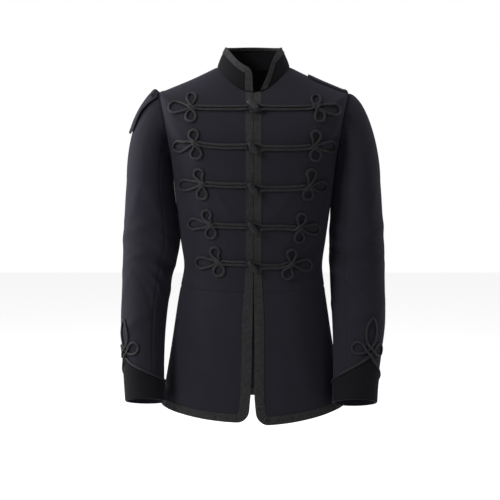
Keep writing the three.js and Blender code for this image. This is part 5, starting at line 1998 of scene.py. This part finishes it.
    def build_toggles(self) -> None:
        """Makes the five toggles, each lying slantwise over the eye of its frog."""
        tree = make_barrel_tree()
        for values in FROGS[Side.LEFT]:
            row, line = values[0], float(values[1])
            stout = self.row_one if row == 1 else 1.0
            long = self.row_one_length if row == 1 else 1.0
            radius, length = self.toggle_radius * stout, self.toggle_length * long
            strand = radius * self.strand_share
            name = f"corded_toggle_{row}"
            mesh = tree.run(
                name,
                self.barrel_core(length * 0.9, radius - strand),
                {
                    "Length": (length - 2 * strand) * MM,
                    "Radius": (radius - strand * 0.9) * MM,
                    "Strand": strand * MM,
                    "Strands": self.strands,
                    "Twist": self.twist,
                    "Ring": strand * 0.52 * MM,
                    "Material": self.room.materials[self.room.finishes.cord.name],
                },
            )
            place = self.body.in_front(1, np.array([1.0]), np.array([line]))
            n = place.n[0]
            cord_top = float(self.lift_at(np.array(0.0))) + self.height
            centre = place.p[0] + n * (cord_top - self.toggle_sunk + radius)
            centre[0] = -1.0
            upwards = unit(np.cross(n, np.array([1.0, 0.0, 0.0])))
            slant = math.radians(self.toggle_slant)
            along = Vector((math.cos(slant), *(upwards[1:] * math.sin(slant))))
            turn = along.to_track_quat("Z", "Y").to_matrix().to_4x4()
            mesh.transform(turn)
            mesh.transform(Matrix.Translation(Vector(centre * MM)))
            self.room.dress(name, mesh, self.room.finishes.cord, [f"toggle_{row}"])

    def build(self) -> None:
        """Makes the cords and the toggles."""
        self.build_cords()
        self.build_toggles()


@dataclass
class ShoulderStraps:
    """The strap that lies along the left shoulder and the one fallen out over the right sleeve."""

    room: Workroom
    body: BodyForm
    width: float = 44.0
    thick: float = 3.2
    start: float = 118.0
    end: float = 203.0
    lift: float = 1.0
    clear: float = 0.6
    curl: float = 5.0
    stitch_inset: float = 4.0
    stitching: StitchRun = StitchRun(0.0034, 0.0024, 0.0003, 0.0)
    lying_cut: Cut = Cut(0.044, 0.095, 0.0040)
    fallen_cut: Cut = Cut(0.044, 0.136, 0.0056)
    fallen: Table = field(
        default_factory=lambda: Table(
            "out up fore twist taper",
            (
                (206, -56, 0, 8, 1),
                (210, -51.5, -2, 18, 1),
                (216, -47, -6, 25, 1),
                (226, -56.5, -10, 25, 1),
                (238, -72, -12, 17, 1),
                (250.2, -91.5, -13, 12, 0.98),
                (260.6, -112.5, -13, 13, 0.95),
                (267.5, -132, -14, 15, 0.8),
                (270.5, -143, -14, 15, 0.35),
            ),
        )
    )

    def under(self, x: Array, y: Array) -> Places:
        """The places on the shoulder at some x and y."""
        low = np.full(x.shape, SHOULDER_RUN - 5)
        high = np.full(x.shape, NECK_RUN)
        for _ in range(36):
            run = (low + high) / 2
            row = self.body.rings.at(run)
            depth = np.where(y < 0, row["chest"], row["spine"])
            size = (np.abs(x) / row["half"]) ** row["square"] + (np.abs(y) / depth) ** row["square"]
            low, high = np.where(size < 1, run, low), np.where(size < 1, high, run)
        row = self.body.rings.at(low)
        c = np.minimum((np.abs(x) / row["half"]) ** (row["square"] / 2), 1.0)
        return self.body.place(1, np.degrees(np.arccos(c)) * np.sign(y), low)

    def strap(self, places: Places) -> Shape:
        """A doubled strap on its places, with rolled edges and a sunk row of stitching."""
        edges = (Edge.FIRST_ROW, Edge.LAST_ROW, Edge.FIRST_COLUMN, Edge.LAST_COLUMN)
        roll = seam_dip(places.p, edges, 1.2, 1.6)
        across, up = grid_lengths(places.p)
        near = np.minimum.reduce([across, across[:, -1:] - across, up[-1:, :] - up])
        groove = -0.4 * np.exp(-(((near - self.stitch_inset) / 0.9) ** 2))
        return wall(places.lifted(self.thick + roll + groove), places.lifted(-roll * 0.5))

    def dress(self, name: str, places: Places, side: Side) -> None:
        """Makes one strap and its row of stitches."""
        wool = self.room.finishes.wool
        shape = mirror(self.strap(places), side)
        cut, held = (self.lying_cut, "laid") if side is Side.LEFT else (self.fallen_cut, "draped")
        self.room.make_sheet(name, shape, wool, f"shoulder_strap_{side.word}", cut, held)
        across, _ = grid_lengths(places.p)
        top = places.lifted(self.thick - 0.3)
        first = int(np.argmin(np.abs(across[len(across) // 2] - self.stitch_inset)))
        last = places.p.shape[1] - 1 - first
        line = np.concatenate([top[:-2, first], top[-2:-1, first : last + 1][0], top[:-2, last][::-1]])
        self.room.sew(f"{name}_stitches", line, side, self.stitching, wool)

    def columns(self) -> Array:
        """Shares across a strap, close together at its edges."""
        return Steps(22, (0.0, 0.6, 1.4, 2.6)).over(self.width) / self.width - 0.5

    def build(self) -> None:
        """Makes both straps."""
        across = self.columns()
        share = np.concatenate([[0.0, 0.008, 0.02], np.linspace(0.04, 1.0, 40)])
        shape = 0.62 + 0.38 * np.sqrt(1 - (1 - np.minimum(share / 0.12, 1.0)) ** 2)
        x = np.broadcast_to(mix(self.start, self.end, share)[:, None], (len(share), len(across)))
        y = across[None, :] * (self.width * shape)[:, None] + 0.01
        found = self.under(x, y)
        lying = Places(found.lifted(self.lift * (1 - share[:, None]) ** 2 + self.clear + 0 * y), found.n)
        lying = Places(lying.p[::-1], lying.n[::-1])
        self.dress("cloth_strap_left", lying, Side.LEFT)
        rows = self.fallen.values
        path = smooth_path(rows[:, :3], False, 2.6)
        run, here = distances(rows[:, :2]), distances(path[:, :2])
        here = here * run[-1] / here[-1]
        twist, taper = np.radians(np.interp(here, run, rows[:, 3])), np.interp(here, run, rows[:, 4])
        along = np.gradient(path[:, :2], axis=0)
        along = along / np.linalg.norm(along, axis=1, keepdims=True)
        n = np.stack([-along[:, 1], np.zeros(len(path)), along[:, 0]], axis=-1)[:, None]
        wide = (self.width * taper)[:, None]
        level, steep = wide * np.cos(twist)[:, None], wide * np.sin(twist)[:, None]
        flat = across[None, :]
        p = np.stack(
            [path[:, :1] + 0 * flat, path[:, 2:] + flat * level, path[:, 1:2] - self.curl * flat**2], axis=-1
        )
        p = p + n * ((flat - 0.5) * steep)[..., None]
        faces = n * level[..., None] - BACKWARDS * steep[..., None]
        hanging = Places(p, unit(np.broadcast_to(faces, p.shape)))
        self.dress("cloth_strap_right", hanging, Side.RIGHT)


# The room


@dataclass
class Studio:
    """The pale floor, the soft lights and the camera."""

    camera_at: tuple[float, float, float] = (-7.7, -2700.0, -180.0)
    camera_aim: tuple[float, float, float] = (-7.7, 0.0, -400.0)
    lens: float = 88.3
    floor_height: float = -1.15
    floor_size: float = 14.0
    floor_glow: float = 0.75
    white: tuple[float, float, float] = (0.8, 0.8, 0.805)
    world_strength: float = 0.19

    def aim(self, thing: bpy.types.Object, at: Vector, target: Vector) -> None:
        """Places a light or the camera and turns it to its target."""
        thing.location = at
        thing.rotation_euler = (target - at).to_track_quat("-Z", "Y").to_euler()

    def build_camera(self) -> None:
        """Makes the camera at the picture's viewing angle."""
        data = bpy.data.cameras.new("camera")
        data.lens, data.sensor_width = self.lens, 36.0
        camera = add_object("camera", data)
        self.aim(camera, Vector(self.camera_at) * MM, Vector(self.camera_aim) * MM)
        bpy.context.scene.camera = camera

    def build_light(
        self, name: str, at: Sequence[float], size: float, power: float, tint: Sequence[float]
    ) -> None:
        """Makes one soft square light aimed at the jacket's middle."""
        data = bpy.data.lights.new(name, "AREA")
        data.shape, data.size, data.energy, data.color = "SQUARE", size, power, tuple(tint)
        light = add_object(name, data)
        self.aim(light, Vector(at), Vector((0, 0, -0.38)))

    def build(self) -> None:
        """Makes the whole studio."""
        self.build_camera()
        world = bpy.data.worlds.new("studio")
        world.use_nodes = True
        sky = world.node_tree.nodes["Background"]
        sky.inputs["Color"].default_value = (1.0, 1.0, 1.0, 1.0)
        tree = Tree(world.node_tree)
        seen = tree.node("ShaderNodeLightPath").outputs["Is Camera Ray"]
        tree.put(tree.math("MAXIMUM", seen, self.world_strength), sky.inputs["Strength"])
        bpy.context.scene.world = world
        bpy.context.scene.view_settings.view_transform = "Standard"
        half = self.floor_size / 2
        mesh = bpy.data.meshes.new("floor")
        z = self.floor_height
        corners = [(-half, -half, z), (half, -half, z), (half, half, z), (-half, half, z)]
        mesh.from_pydata(corners, [], [(0, 1, 2, 3)])
        floor = add_object("floor", mesh)
        pale = bpy.data.materials.new("pale_floor")
        pale.use_nodes = True
        shader = pale.node_tree.nodes["Principled BSDF"]
        shader.inputs["Base Color"].default_value = (*self.white, 1.0)
        shader.inputs["Roughness"].default_value = 0.9
        shader.inputs["Emission Color"].default_value = (1.0, 1.0, 1.0, 1.0)
        paint = Tree(pale.node_tree)
        seen = paint.node("ShaderNodeLightPath").outputs["Is Camera Ray"]
        paint.put(paint.math("MULTIPLY", seen, self.floor_glow), shader.inputs["Emission Strength"])
        mesh.materials.append(pale)
        self.build_light("key_left", (-2.5, -1.9, 1.4), 1.2, 74, (1.0, 0.99, 0.98))
        self.build_light("fill_right", (2.3, -2.0, 0.7), 1.8, 10, (0.97, 0.98, 1.0))
        self.build_light("rim_left", (-2.2, 0.5, 0.2), 1.0, 38, (0.93, 0.95, 1.0))
        self.build_light("rim_right", (2.3, 0.9, 0.4), 1.2, 10, (0.93, 0.95, 1.0))
        self.build_light("top", (-0.3, -0.2, 2.2), 1.2, 16, (1.0, 1.0, 1.0))


def main() -> None:
    """Builds the studio and every piece of the jacket in order."""
    logging.basicConfig(level=logging.INFO, format="%(name)s: %(message)s")
    Studio().build()
    room = Workroom(Finishes())
    body = BodyForm()
    panels = BodyPanels(room, body)
    panels.build()
    for side in Side:
        Sleeve(room, body, side).build()
    edges = BoundEdges(room, body, panels)
    edges.build()
    StandCollar(room, body).build(edges)
    Frogging(room, body).build()
    ShoulderStraps(room, body).build()
    bpy.context.view_layer.update()


if __name__ == "__main__":
    main()
